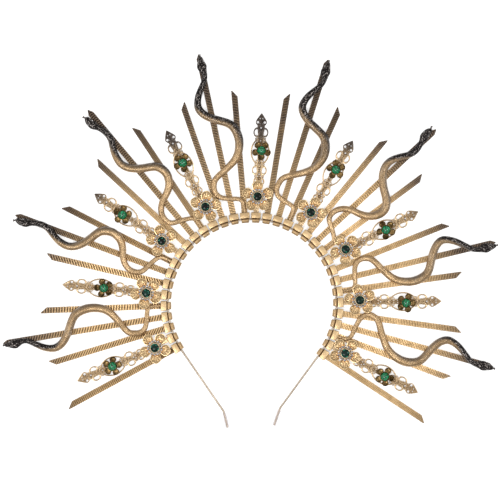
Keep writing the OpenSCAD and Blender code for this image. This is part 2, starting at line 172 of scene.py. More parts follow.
def smooth_rows(rows: Sequence[Row], steps: int) -> list[Row]:
    """A smooth curve through the rows of a table, column by column.

    Args:
        rows: The rows that the curve passes through.
        steps: Points for each stretch between two rows.

    Returns:
        The points of the curve.
    """
    last = len(rows) - 1
    points: list[Row] = []
    for i in range(last):
        near = rows[max(i - 1, 0)], rows[i], rows[i + 1], rows[min(i + 2, last)]
        for t in (k / steps for k in range(steps)):
            points.append(tuple(
                0.5 * (2 * q + (r - p) * t + (2 * p - 5 * q + 4 * r - s) * t * t
                       + (3 * q - p - 3 * r + s) * t ** 3) for p, q, r, s in zip(*near)))
    points.append(tuple(float(v) for v in rows[last]))
    return points


def shift(x: float, y: float, z: float = 0.0) -> Matrix:
    """A move."""
    return Matrix.Translation((x, y, z))


def turned(angle: float, axis: str = "Z") -> Matrix:
    """A turn about an axis, by an angle in radians."""
    return Matrix.Rotation(angle, 4, axis)


def sized(x: float, y: float, z: float = 1.0) -> Matrix:
    """A stretch along the three axes."""
    return Matrix.Diagonal((x, y, z, 1))


# Shapes


def new_shape() -> BMesh:
    """An empty bmesh with the layers that every shape of the crown carries.

    Returns:
        The bmesh.
    """
    shape = bmesh.new()
    shape.loops.layers.uv.new(UV)
    for mark in Mark:
        shape.verts.layers.float.new(mark.value)
    shape.faces.layers.float.new(FACET)
    return shape


def close_ends(shape: BMesh) -> None:
    """Fills every open rim of a shape."""
    if rims := [e for e in shape.edges if e.is_boundary]:
        bmesh.ops.holes_fill(shape, edges=rims, sides=0)


def part(shape: BMesh, name: str, flat: float = math.inf, lay: bool = True) -> Mesh:
    """Turns a finished shape into a mesh that pieces take copies of.

    Args:
        shape: The shape, which is closed and used up.
        name: Name of the mesh.
        flat: Area in square millimetres from which a face is shaded flat.
        lay: Whether its UV map becomes its plan in millimetres.

    Returns:
        The mesh.
    """
    bmesh.ops.remove_doubles(shape, verts=shape.verts, dist=WELD)
    close_ends(shape)
    bmesh.ops.recalc_face_normals(shape, faces=shape.faces)
    uv = shape.loops.layers.uv[UV]
    for face in shape.faces:
        face.smooth = face.calc_area() < flat
        for loop in face.loops if lay else ():
            loop[uv].uv = loop.vert.co.xy
    mesh = bpy.data.meshes.new(name)
    shape.to_mesh(mesh)
    shape.free()
    return mesh


def moved(mesh: Mesh, x: float, y: float, z: float) -> Mesh:
    """A copy of a part at another place.

    Args:
        mesh: The part.
        x: How far it moves across.
        y: How far it moves outward.
        z: How far it moves up.

    Returns:
        The copy.
    """
    copy = mesh.copy()
    copy.transform(shift(x, y, z))
    return copy


def spin(shape: BMesh, steps: int) -> BMesh:
    """Spins an open profile a full turn round the Z axis.

    Args:
        shape: The shape that holds the profile and nothing else.
        steps: Steps of the turn.

    Returns:
        The same shape.
    """
    bmesh.ops.spin(shape, geom=[*shape.verts, *shape.edges], cent=(0, 0, 0), axis=(0, 0, 1),
                   dvec=(0, 0, 0), angle=math.tau, steps=steps, use_merge=True,
                   use_duplicate=False)
    bmesh.ops.remove_doubles(shape, verts=shape.verts, dist=WELD)
    return shape


def lathe(profile: Sequence[Point2], steps: int) -> BMesh:
    """Turns a round shape from its profile.

    Args:
        profile: Distance from the axis and height of each point.
        steps: Steps of the full turn.

    Returns:
        The shape.
    """
    shape = new_shape()
    points = [shape.verts.new((r, 0, z)) for r, z in profile]
    for pair in zip(points, points[1:]):
        shape.edges.new(pair)
    return spin(shape, steps)


def wire_ring(radius: float, half: float, rise: float, steps: int, sides: int = 8) -> BMesh:
    """A closed ring of wire round the Z axis.

    Args:
        radius: Distance of the wire's middle from the axis.
        half: Half width of the wire.
        rise: Half height of the wire.
        steps: Steps of the full turn.
        sides: Sides of the wire's cross-section.

    Returns:
        The ring.
    """
    shape = new_shape()
    place = shift(radius, 0) @ turned(math.pi / 2, "X") @ sized(half, rise)
    bmesh.ops.create_circle(shape, cap_ends=False, segments=sides, radius=1, matrix=place)
    return spin(shape, steps)


def bead(radius: float, rise: float = 1.0) -> BMesh:
    """A small round grain of a few dozen faces.

    Args:
        radius: Its radius.
        rise: Its height as a share of its width.

    Returns:
        The grain.
    """
    shape = new_shape()
    bmesh.ops.create_uvsphere(shape, u_segments=7, v_segments=5, radius=radius,
                              matrix=sized(1, 1, rise))
    return shape


def pull(shape: BMesh, faces: Sequence[BMFace], move: Row = (0, 0, 0)) -> list[BMVert]:
    """Extrudes faces.

    Args:
        shape: The shape that they are on.
        faces: The faces, which stay where they are.
        move: Where the new ones go.

    Returns:
        The points of the new faces.
    """
    grown = bmesh.ops.extrude_face_region(shape, geom=faces)["geom"]
    verts = [g for g in grown if isinstance(g, BMVert)]
    bmesh.ops.translate(shape, vec=move, verts=verts)
    return verts


def soften(shape: BMesh, edges: Sequence[BMEdge], width: float, segments: int = 3) -> None:
    """Rounds edges by a bevel of that width."""
    bmesh.ops.bevel(shape, geom=edges, offset=width, segments=segments, profile=0.5,
                    affect="EDGES", material=-1, clamp_overlap=True)


def stations(rows: Sequence[Row]) -> list[Matrix]:
    """Frames along a path that lies level.

    Args:
        rows: Place across, place outward, height, half width and half height at each point.

    Returns:
        For each point the matrix that carries a unit circle to its cross-section there.
    """
    frames: list[Matrix] = []
    last = len(rows) - 1
    for i, (x, y, z, wide, high) in enumerate(rows):
        before, after = rows[max(i - 1, 0)], rows[min(i + 1, last)]
        along = Vector((after[0] - before[0], after[1] - before[1], 0)).normalized()
        side = Vector((-along.y, along.x, 0))
        turn = Matrix((side, Vector((0, 0, 1)), along)).transposed().to_4x4()
        frames.append(shift(x, y, z) @ turn @ sized(wide, high))
    return frames


def sweep(frames: Sequence[Matrix], sides: int, belly: float = 1.0
          ) -> tuple[BMesh, list[list[BMVert]]]:
    """Draws a circle along frames, ring after ring, and closes both ends.

    Args:
        frames: The matrix of each ring, as stations gives them.
        sides: Sides of the ring.
        belly: Height of the lower half as a share of the upper half's.

    Returns:
        The shape and the vertices of each ring, in order round it.
    """
    shape = new_shape()
    uv = shape.loops.layers.uv[UV]
    ring = list(bmesh.ops.create_circle(shape, cap_ends=False, segments=sides, radius=1)["verts"])
    ring.sort(key=lambda v: math.atan2(v.co.y, v.co.x) % math.tau)
    for v in ring:
        if v.co.y < 0:
            v.co.y *= belly
    bmesh.ops.transform(shape, matrix=frames[0], verts=ring)
    edges = list(shape.edges)
    rings = [ring]
    reach = 0.0
    for a, b in zip(frames, frames[1:]):
        grown = bmesh.ops.extrude_edge_only(shape, edges=edges)["geom"]
        fresh = {g for g in grown if isinstance(g, BMVert)}
        edges = [g for g in grown if isinstance(g, BMEdge) and set(g.verts) <= fresh]
        follow = {e.other_vert(v): v for v in fresh for e in v.link_edges
                  if e.other_vert(v) not in fresh}
        ring = [follow[v] for v in rings[-1]]
        bmesh.ops.transform(shape, matrix=b @ a.inverted(), verts=ring)
        rings.append(ring)
        step = (b.translation - a.translation).length
        for face in (g for g in grown if isinstance(g, BMFace)):
            where = [ring.index(v) if v in fresh else rings[-2].index(v) for v in face.verts]
            wraps = max(where) - min(where) > 1
            for loop, j in zip(face.loops, where):
                turn = 1.0 if wraps and j == 0 else j / sides
                loop[uv].uv = (turn, reach + (step if loop.vert in fresh else 0))
        reach += step
    close_ends(shape)
    return shape, rings


def plate(outline: Sequence[Point2], holes: Sequence[Row], low: float, high: float) -> BMesh:
    """A flat plate with round holes and softened edges.

    Args:
        outline: Corners of the plate.
        holes: Place across and outward, and radius, of each hole.
        low: Height of its back.
        high: Height of its front.

    Returns:
        The plate.
    """
    shape = new_shape()
    corners = [shape.verts.new((x, y, low)) for x, y in outline]
    for pair in zip(corners, corners[1:] + corners[:1]):
        shape.edges.new(pair)
    for x, y, r in holes:
        bmesh.ops.create_circle(shape, cap_ends=False, segments=12, radius=r,
                                matrix=shift(x, y, low))
    bmesh.ops.triangle_fill(shape, use_beauty=True, use_dissolve=False, edges=list(shape.edges))
    pull(shape, list(shape.faces), (0, 0, high - low))
    bmesh.ops.recalc_face_normals(shape, faces=shape.faces)
    soften(shape, [e for e in shape.edges
                   if len(e.link_faces) == 2 and e.calc_face_angle(0) > 1.2], 0.12, 2)
    return shape


def paint(shape: BMesh, mark: Mark, amount: float) -> BMesh:
    """Gives every point of a shape the same value.

    Args:
        shape: The shape.
        mark: Which of its values.
        amount: What it becomes.

    Returns:
        The same shape.
    """
    layer = mark.on(shape)
    for vert in shape.verts:
        vert[layer] = amount
    return shape


def shade_flanks(shape: BMesh, amount: float = 0.9, top: float = 0.0) -> BMesh:
    """Paints shade on the flanks of a shape, which turn away from the light above.

    Args:
        shape: The shape.
        amount: How dark its flanks become.
        top: How dark all of it becomes at least.

    Returns:
        The same shape.
    """
    shape.normal_update()
    groove = Mark.GROOVE.on(shape)
    for vert in shape.verts:
        vert[groove] = max(vert[groove], top, amount * ease(0.9, 0.35, vert.normal.z))
    return shape


def wire(name: str, points: Sequence[Row], half: float, rise: float, sides: int = 6,
         shading_and_dirt: float = 0.9, top: float = 0.0) -> Mesh:
    """A wire along level points, with painted shade on its flanks.

    Args:
        name: Name of the mesh.
        points: Place across, outward and in height.
        half: Half width of the wire.
        rise: Half height of the wire.
        sides: Sides of its cross-section.
        shading_and_dirt: How dark its flanks are.
        top: How dark all of it is at least.

    Returns:
        The wire.
    """
    shape = sweep(stations([(*p, half, rise) for p in points]), sides)[0]
    return part(shade_flanks(shape, shading_and_dirt, top), name)


# Materials


@dataclass
class Flow:
    """What one output of a shader node gives, with which sums can be written."""

    sheet: "Sheet"
    node: Node
    key: str | int = 0

    @property
    def socket(self) -> NodeSocket:
        """The output."""
        return self.node.outputs[self.key]

    def __getitem__(self, key: str | int) -> "Flow":
        """Another output of the same node."""
        return Flow(self.sheet, self.node, key)

    def __add__(self, other: "Flow | float") -> "Flow":
        """The sum."""
        return self.sheet.math("ADD", self, other)

    def __sub__(self, other: "Flow | float") -> "Flow":
        """The difference."""
        return self.sheet.math("SUBTRACT", self, other)

    def __rsub__(self, other: float) -> "Flow":
        """What is left of a number."""
        return self.sheet.math("SUBTRACT", other, self)

    def __mul__(self, other: "Flow | float") -> "Flow":
        """The product."""
        return self.sheet.math("MULTIPLY", self, other)

    def __truediv__(self, other: "Flow | float") -> "Flow":
        """The quotient."""
        return self.sheet.math("DIVIDE", self, other)

    def __pow__(self, other: float) -> "Flow":
        """The power."""
        return self.sheet.math("POWER", self, other)

    def most(self, other: "Flow | float") -> "Flow":
        """The larger of the two."""
        return self.sheet.math("MAXIMUM", self, other)

    def held(self) -> "Flow":
        """The same result of a sum, held between 0 and 1."""
        self.node.use_clamp = True
        return self

    def step(self, low: float, high: float) -> "Flow":
        """A smooth rise from 0 to 1 as the value goes from low to high."""
        return self.sheet.add("MapRange", {0: self, 1: low, 2: high},
                              interpolation_type="SMOOTHSTEP")


class Sheet:
    """Adds and joins the nodes of one shader tree."""

    def __init__(self, tree: NodeTree) -> None:
        """Starts on an emptied tree."""
        self.tree = tree
        tree.nodes.clear()

    def add(self, kind: str, inputs: dict[str | int, object] | None = None,
            **settings: object) -> Flow:
        """Adds a node.

        Args:
            kind: Its type, without the ShaderNode in front.
            inputs: A value or what another node gives for each input, by name or number.
            **settings: Its own settings.

        Returns:
            What the node gives.
        """
        node = self.tree.nodes.new("ShaderNode" + kind)
        for key, value in settings.items():
            setattr(node, key, value)
        for key, value in (inputs or {}).items():
            if isinstance(value, Flow):
                self.tree.links.new(value.socket, node.inputs[key])
            else:
                node.inputs[key].default_value = value
        return Flow(self, node)

    def math(self, operation: str, a: Flow | float, b: Flow | float = 0.0) -> Flow:
        """The result of a sum."""
        return self.add("Math", {0: a, 1: b}, operation=operation)

    def mix(self, amount: Flow, a: object, b: object) -> Flow:
        """A colour between two colours."""
        return self.add("Mix", {0: amount, 6: a, 7: b}, data_type="RGBA")[2]

    def mark(self, mark: Mark) -> Flow:
        """A value that the mesh carries."""
        return self.add("Attribute", attribute_name=mark.value)["Fac"]

    def spot(self) -> Flow:
        """The place on the object."""
        return self.add("TexCoord")["Object"]

    def noise(self, spot: Flow, scale: Flow | float, detail: float, rough: float = 0.5) -> Flow:
        """A cloudy pattern of that scale."""
        return self.add("TexNoise", {"Vector": spot, "Scale": scale, "Detail": detail,
                                     "Roughness": rough})

    def takes(self, **inputs: float | tuple[float, ...]) -> Flow:
        """Names the inputs of a group.

        Args:
            **inputs: Default value of each; four numbers make a colour.

        Returns:
            What the inputs give inside the group.
        """
        for key, value in inputs.items():
            kind = "NodeSocketColor" if isinstance(value, tuple) else "NodeSocketFloat"
            socket = self.tree.interface.new_socket(key, in_out="INPUT", socket_type=kind)
            socket.default_value = value
        return Flow(self, self.tree.nodes.new("NodeGroupInput"))

    def gives(self, **outputs: Flow) -> None:
        """Names the outputs of a group.

        Args:
            **outputs: What each of them gives.
        """
        for key, flow in outputs.items():
            kind = "NodeSocketColor" if flow.socket.type == "RGBA" else "NodeSocketFloat"
            self.tree.interface.new_socket(key, in_out="OUTPUT", socket_type=kind)
        node = self.tree.nodes.new("NodeGroupOutput")
        for key, flow in outputs.items():
            self.tree.links.new(flow.socket, node.inputs[key])


class Effect(Enum):
    """Shader groups that finishes share, each named after the method that builds it."""

    AGED = "aged_metal_and_painted_light"
    SCALES = "snake_scales"
    ENGRAVED = "engraved_fan"
    GRANULES = "granulation"
    DRAWN = "drawn_lines"

    @cache
    def group(self) -> NodeTree:
        """Builds the group when it is first used.

        Returns:
            The group.
        """
        sheet = Sheet(bpy.data.node_groups.new(self.value, "ShaderNodeTree"))
        getattr(self, self.value)(sheet)
        return sheet.tree

    @staticmethod
    def aged_metal_and_painted_light(sheet: Sheet) -> None:
        """Mottled metal with worn edges and a dark patina, darker in hollows, with painted shade,
        painted highlights and painted glints.

        Args:
            sheet: The group's tree.
        """
        black, white = (0, 0, 0, 1), (1, 1, 1, 1)
        given = sheet.takes(
            Bright=white, Base=white, Deep=black, Patina=black, PatinaLight=black, Glint=white,
            PatinaAmount=0.0, Raised=0.5, Lit=0.0, Groove=0.0, Wear=0.5, Grain=900.0,
            Roughness=0.3)
        cloud = sheet.noise(sheet.spot(), 140.0, 5.0, 0.62)
        grain = sheet.noise(sheet.spot(), given["Grain"], 3.0, 0.6)
        pointed = sheet.add("NewGeometry")["Pointiness"]
        edge = pointed.step(0.51, 0.6) * given["Wear"]
        # Darkening: the Groove mark, which holds dirt and painted shade, and the hollows that
        # pointiness finds; painted highlight lessens it.
        hollow = 1 - pointed.step(0.4, 0.49)
        shading_and_dirt = given["Groove"].most(hollow * 0.7) * (1 - given["Lit"] * 0.6)
        speck = grain.step(0.52, 0.7) * 0.35
        colour = sheet.mix(cloud.step(0.36, 0.66), given["Base"], given["Bright"])
        # Painted highlight: the Lit mark lifts the colour to the bright colour.
        colour = sheet.mix(given["Lit"], colour, given["Bright"])
        colour = sheet.mix(shading_and_dirt.most(speck).held(), colour, given["Deep"])
        blotch = given["PatinaAmount"] + (cloud - 0.5) * 0.55
        amount = blotch.step(0.12, 0.88) * given["PatinaAmount"].step(0.0, 0.08)
        # Patina turns lighter on raised parts: partly rubbed wear, partly painted highlight.
        ridge = (given["Raised"] + (cloud - 0.5) * 0.9).step(0.3, 1.0)
        dark = sheet.mix(ridge, given["Patina"], given["PatinaLight"])
        # Painted glints: the Lit mark and random specks lift the patina to the glint colour.
        glint = given["Lit"].most(grain.step(0.6, 0.74) * 0.45)
        colour = sheet.mix(amount, colour, sheet.mix(glint, dark, given["Glint"]))
        worn = sheet.mix(amount, given["Bright"], given["PatinaLight"])
        rough = given["Roughness"] + (grain - 0.45) * 0.3 + shading_and_dirt * 0.2
        sheet.gives(Color=sheet.mix(edge, colour, worn), Roughness=rough.held(), Height=grain)

    @staticmethod
    def snake_scales(sheet: Sheet) -> None:
        """Rows of diamond scales round a body, from its UV map.

        Args:
            sheet: The group's tree.
        """
        given = sheet.takes(Around=14.0, Length=1.2)
        split = sheet.add("SeparateXYZ", {0: sheet.add("UVMap", uv_map=UV)})
        u, v = split[0] * given["Around"], split[1] / given["Length"]
        lattice = sheet.add("CombineXYZ", {0: u + v, 1: u - v})
        scale = sheet.add("TexVoronoi", {"Vector": lattice, "Scale": 1.0, "Randomness": 0.0},
                          voronoi_dimensions="2D", distance="CHEBYCHEV")
        cell = scale["Distance"]
        chance = sheet.add("SeparateXYZ", {0: scale["Color"]})
        height = 1 - (cell * 2.0) ** 2.4
        # Raised picks scales at random, whose patina turns lighter: painted glints on single
        # scales.
        sheet.gives(Height=height, Groove=cell.step(0.3, 0.48),
                    Raised=height * chance.step(0.35, 0.95))

    @staticmethod
    def engraved_fan(sheet: Sheet) -> None:
        """Engraved lines that fan out from a petal's foot and curl towards its rim.

        Args:
            sheet: The group's tree.
        """
        given = sheet.takes(Foot=3.2, Lines=30.0)
        split = sheet.add("SeparateXYZ", {0: sheet.add("UVMap", uv_map=UV)})
        far = split[1] + given["Foot"]
        angle = sheet.math("ARCTAN2", split, far)
        reach = sheet.math("SQRT", split ** 2.0 + far ** 2.0)
        lines = sheet.math("SINE", angle * given["Lines"] + sheet.math("SINE", reach * 1.7))
        curls = sheet.math("SINE", reach * 5.2 + sheet.math("COSINE", angle * 6.0) * 1.6)
        height = lines * 0.6 + curls * 0.4
        sheet.gives(Height=height, Groove=(height * -1.0).step(0.2, 0.9))

    @staticmethod
    def granulation(sheet: Sheet) -> None:
        """Small grains over cast filigree.

        Args:
            sheet: The group's tree.
        """
        given = sheet.takes(Size=1100.0)
        cell = sheet.add("TexVoronoi", {"Vector": sheet.spot(), "Scale": given["Size"],
                                        "Randomness": 0.6})["Distance"]
        sheet.gives(Height=1 - cell, Groove=cell.step(0.42, 0.72))

    @staticmethod
    def drawn_lines(sheet: Sheet) -> None:
        """Fine scratches that drawing or brushing leaves.

        Args:
            sheet: The group's tree.
        """
        given = sheet.takes(Scale=500.0)
        squashed = sheet.add("Mapping", {"Vector": sheet.spot(), "Rotation": (0, 0, 0.6),
                                         "Scale": (0.12, 1.0, 1.0)})
        lines = sheet.noise(squashed, given["Scale"] * 6.0, 2.0)
        sheet.gives(Height=lines, Groove=lines.step(0.62, 0.8))


def rgba(colour: Colour) -> tuple[float, ...]:
    """A colour with full opacity."""
    return (*colour, 1.0)


@dataclass(frozen=True)
class Finish:
    """A finish, of which one material is made."""

    name: str

    def dress(self, sheet: Sheet) -> dict[str, object]:
        """What the finish gives each input of its shader."""
        raise NotImplementedError(self.name)

    def build(self) -> Material:
        """Builds the material.

        Returns:
            The material.
        """
        material = bpy.data.materials.new(self.name)
        material.use_nodes = True
        sheet = Sheet(material.node_tree)
        sheet.add("OutputMaterial", {"Surface": sheet.add("BsdfPrincipled", self.dress(sheet))})
        return material


@dataclass(frozen=True)
class MetalFinish(Finish):
    """A cast, stamped or drawn metal, with its colours and its fine relief."""

    bright: Colour
    base: Colour
    # deep is the colour of dirt and painted shade.
    deep: Colour
    patina: Colour = (0.03, 0.027, 0.025)
    # patina_light colours the patina on raised parts and worn edges, partly rubbed wear and partly
    # painted highlight; glint is the colour of painted glints.
    patina_light: Colour = (0.1, 0.085, 0.075)
    glint: Colour = (0.5, 0.48, 0.47)
    rough: float = 0.3
    wear: float = 0.5
    grain: float = 1500.0
    grain_mm: float = 0.03
    relief: Effect | None = None
    relief_mm: float = 0.08
    relief_dirt: float = 0.6
    around: float = 14.0

    def dress(self, sheet: Sheet) -> dict[str, object]:
        """Lays the relief under the aged metal with its painted light.

        Args:
            sheet: The material's tree.

        Returns:
            What each input of the shader gets.
        """
        groove, raised = sheet.mark(Mark.GROOVE), sheet.mark(Mark.RAISED)
        fine = None
        if self.relief:
            inputs = {"Around": self.around} if self.relief is Effect.SCALES else {}
            fine = sheet.add("Group", inputs, node_tree=self.relief.group())
            raised = raised.most(fine["Raised" if "Raised" in fine.node.outputs else "Height"])
            groove = groove.most(fine["Groove"] * self.relief_dirt)
        aged = sheet.add("Group", {
            "Bright": rgba(self.bright), "Base": rgba(self.base), "Deep": rgba(self.deep),
            "Patina": rgba(self.patina), "PatinaLight": rgba(self.patina_light),
            "Glint": rgba(self.glint), "PatinaAmount": sheet.mark(Mark.PATINA),
            "Raised": raised, "Lit": sheet.mark(Mark.LIT), "Groove": groove, "Wear": self.wear,
            "Grain": self.grain, "Roughness": self.rough}, node_tree=Effect.AGED.group())
        normal = sheet.add("Bump", {"Height": aged["Height"], "Strength": 0.5,
                                    "Distance": self.grain_mm * MM})
        if fine:
            normal = sheet.add("Bump", {"Height": fine["Height"], "Strength": 1.0,
                                        "Normal": normal, "Distance": self.relief_mm * MM})
        return {"Base Color": aged["Color"], "Roughness": aged["Roughness"], "Metallic": 1.0,
                "Normal": normal, "IOR": 1.5}


@dataclass(frozen=True)
class StoneFinish(Finish):
    """A polished stone, whose bands differ in colour, or whose facets carry painted sparkle."""

    dark: Colour
    light: Colour
    flash: Colour
    banded: bool = False
    metallic: float = 0.0
    rough: float = 0.06
    coat: float = 1.0
    specular: float = 0.5

    def dress(self, sheet: Sheet) -> dict[str, object]:
        """Colours the bands or the facets.

        Args:
            sheet: The material's tree.

        Returns:
            What each input of the shader gets.
        """
        dark, light, flash = rgba(self.dark), rgba(self.light), rgba(self.flash)
        cloud = sheet.noise(sheet.spot(), 420.0, 4.0)
        if self.banded:
            bands = sheet.add("TexWave", {"Vector": sheet.spot(), "Scale": 160.0,
                                          "Distortion": 7.0, "Detail": 3.0, "Detail Scale": 2.0},
                              wave_type="RINGS", rings_direction="SPHERICAL")["Fac"]
            colour = sheet.mix(bands.step(0.15, 0.85), dark, light)
            colour = sheet.mix(cloud.step(0.6, 0.75), colour, flash)
        else:
            # Painted sparkle: each facet takes a fixed random shade from dark through light to
            # flash, standing in for the light it catches.
            facet = sheet.add("Attribute", attribute_name=FACET)["Fac"]
            colour = sheet.mix(facet.step(0.25, 0.8), dark, light)
            colour = sheet.mix(facet.step(0.86, 0.95), colour, flash)
            colour = sheet.mix(cloud.step(0.5, 0.8) * 0.4, colour, dark)
        return {"Base Color": colour, "Roughness": cloud * 0.05 + self.rough,
                "Metallic": self.metallic, "IOR": 1.52, "Specular IOR Level": self.specular,
                "Coat Weight": self.coat, "Coat Roughness": 0.03}


@dataclass(frozen=True)
class SleeveFinish(Finish):
    """Soft clear plastic, milky where it is thick."""

    tint: Colour
    milk: Colour

    def dress(self, sheet: Sheet) -> dict[str, object]:
        """Makes the plastic clear where it faces the eye, and rubs it a little.

        Args:
            sheet: The material's tree.

        Returns:
            What each input of the shader gets.
        """
        cloud = sheet.noise(sheet.spot(), 260.0, 4.0)
        rubbed_sheen = sheet.noise(sheet.spot(), 1800.0, 2.0)
        edge = sheet.add("LayerWeight", {"Blend": 0.5})["Facing"]
        return {"Base Color": sheet.mix(cloud.step(0.3, 0.7), rgba(self.tint), rgba(self.milk)),
                "Roughness": rubbed_sheen * 0.1 + 0.12, "Metallic": 0.0, "IOR": 1.4,
                "Alpha": edge.step(0.15, 0.8) * 0.62 + 0.08,
                "Normal": sheet.add("Bump", {"Height": rubbed_sheen, "Strength": 0.3,
                                             "Distance": 0.02 * MM})}


@dataclass(frozen=True)
class FloorFinish(Finish):
    """A pale floor, which the camera sees a little brighter than it lights the crown."""

    def dress(self, sheet: Sheet) -> dict[str, object]:
        """Lets the floor glow.

        Args:
            sheet: The material's tree.

        Returns:
            What each input of the shader gets.
        """
        seen = sheet.add("LightPath")["Is Camera Ray"]
        return {"Base Color": (0.8, 0.8, 0.8, 1), "Roughness": 0.9, "Specular IOR Level": 0.1,
                "Emission Color": sheet.mix(seen, (0.5, 0.5, 0.5, 1), (1.0, 1.0, 1.0, 1)),
                "Emission Strength": 0.55}


class Look(Enum):
    """Every finish of the crown, and the floor's."""

    WIRE = MetalFinish(
        "rose_wire_satin", (0.56, 0.475, 0.385), (0.43, 0.355, 0.28), (0.26, 0.19, 0.13),
        rough=0.44, relief=Effect.DRAWN, relief_mm=0.004, relief_dirt=0.25)
    SLEEVE = SleeveFinish("clear_soft_sleeve", (0.62, 0.55, 0.6), (0.76, 0.7, 0.74))
    CAP = MetalFinish(
        "cap_satin_gold", (0.73, 0.53, 0.3), (0.6, 0.42, 0.226), (0.16, 0.08, 0.03),
        patina=(0.2, 0.12, 0.055), patina_light=(0.3, 0.19, 0.09), rough=0.38, wear=0.2,
        relief=Effect.DRAWN, relief_mm=0.008, relief_dirt=0.2)
    STRIP = MetalFinish(
        "strip_antique_brass", (0.84, 0.57, 0.295), (0.42, 0.272, 0.13), (0.03, 0.015, 0.007),
        patina=(0.012, 0.009, 0.008), patina_light=(0.21, 0.155, 0.115),
        glint=(0.24, 0.17, 0.12), rough=0.26, wear=0.3)
    SNAKE = MetalFinish(
        "snake_scaled_body", (0.62, 0.43, 0.24), (0.36, 0.24, 0.128), (0.1, 0.052, 0.025),
        patina=(0.013, 0.011, 0.011), patina_light=(0.38, 0.34, 0.315), rough=0.25, wear=0.2,
        relief=Effect.SCALES, relief_mm=0.06, relief_dirt=0.4, around=15.0)
    HEAD = MetalFinish(
        "snake_head_gunmetal", (0.55, 0.53, 0.52), (0.045, 0.04, 0.04), (0.006, 0.005, 0.005),
        rough=0.2, wear=0.9, relief=Effect.SCALES, relief_dirt=0.9, around=10.0)
    EYE = StoneFinish(
        "snake_eye_polish", (0.01, 0.01, 0.012), (0.03, 0.03, 0.035), (0.3, 0.3, 0.32))
    # The petals' patina colours are painted orange-brown shade towards their feet.
    PETAL = MetalFinish(
        "petal_engraved_gold", (0.8, 0.59, 0.335), (0.49, 0.325, 0.155), (0.16, 0.07, 0.02),
        patina=(0.36, 0.16, 0.045), patina_light=(0.6, 0.35, 0.14), glint=(0.7, 0.43, 0.2),
        rough=0.28, wear=0.8, relief=Effect.ENGRAVED, relief_mm=0.02, relief_dirt=0.4)
    SETTING = MetalFinish(
        "setting_bright_gold", (0.92, 0.77, 0.54), (0.68, 0.51, 0.3), (0.1, 0.06, 0.035),
        rough=0.2, wear=0.6)
    FILIGREE = MetalFinish(
        "filigree_pale_gold", (0.86, 0.64, 0.39), (0.56, 0.375, 0.205), (0.06, 0.03, 0.014),
        patina=(0.018, 0.014, 0.013), patina_light=(0.16, 0.13, 0.11), glint=(0.24, 0.2, 0.17),
        rough=0.24, wear=0.7, relief=Effect.GRANULES, relief_mm=0.05, relief_dirt=0.3)
    CUP = MetalFinish(
        "cup_olive_bronze", (0.26, 0.165, 0.066), (0.036, 0.022, 0.008), (0.01, 0.006, 0.002),
        rough=0.28, wear=0.8)
    # The cut stones' light and flash colours are painted sparkle on their facets.
    EMERALD = StoneFinish(
        "emerald_dark_cut", (0.0005, 0.0025, 0.0015), (0.002, 0.022, 0.014),
        (0.02, 0.26, 0.17), rough=0.12, coat=0.0, specular=0.2)
    CRYSTAL = StoneFinish(
        "crystal_ice_cut", (0.12, 0.11, 0.12), (0.56, 0.515, 0.49), (1.0, 0.97, 0.92),
        metallic=0.5)
    MALACHITE = StoneFinish(
        "malachite_polish", (0.0, 0.065, 0.022), (0.0, 0.25, 0.095), (0.015, 0.47, 0.21),
        banded=True, coat=0.35)
    FLOOR = FloorFinish("pale_floor")

    @cache
    def material(self) -> Material:
        """Its material, built when it is first used."""
        return self.value.build()


class Piece:
    """One named piece, gathered in millimetres from closed parts."""

    def __init__(self, name: str) -> None:
        """Starts an empty piece of that name."""
        self.name = name
        self.bm = new_shape()

    def add(self, mesh: Mesh, place: Matrix, finish: int = 0) -> None:
        """Adds a copy of a part.

        Args:
            mesh: The part.
            place: Where it goes, in millimetres.
            finish: Number of its finish among the piece's.
        """
        verts, faces = len(self.bm.verts), len(self.bm.faces)
        self.bm.from_mesh(mesh)
        self.bm.verts.ensure_lookup_table()
        self.bm.faces.ensure_lookup_table()
        bmesh.ops.transform(self.bm, matrix=place, verts=self.bm.verts[verts:])
        for face in self.bm.faces[faces:]:
            face.material_index = finish

    def age(self, rule: Callable[[Vector], float]) -> None:
        """Stores how dark each point has become.

        Args:
            rule: Gives it for a place in the crown.
        """
        patina = Mark.PATINA.on(self.bm)
        for vert in self.bm.verts:
            vert[patina] = rule(vert.co)

    def set_down(self, looks: Sequence[Look], slot: Slot, *replaces: str) -> Object:
        """Makes the piece an object in metres that rides on the crown.

        Args:
            looks: Its finishes, in the order that its parts name them.
            slot: Material slot of the record; not used.
            *replaces: CAD nodes that it stands for.

        Returns:
            The object.
        """
        bmesh.ops.scale(self.bm, vec=(MM, MM, MM), verts=self.bm.verts)
        mesh = bpy.data.meshes.new(self.name)
        self.bm.to_mesh(mesh)
        self.bm.free()
        mesh.set_sharp_from_angle(angle=math.radians(42))
        for look in looks:
            mesh.materials.append(look.material())
        obj = bpy.data.objects.new(self.name, mesh)
        bpy.context.scene.collection.objects.link(obj)
        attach(obj, "root")
        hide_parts(*replaces)
        LOG.info("%s: %d faces, stands for %s", self.name, len(mesh.polygons), ", ".join(replaces))
        return obj


# The crown's lay-out


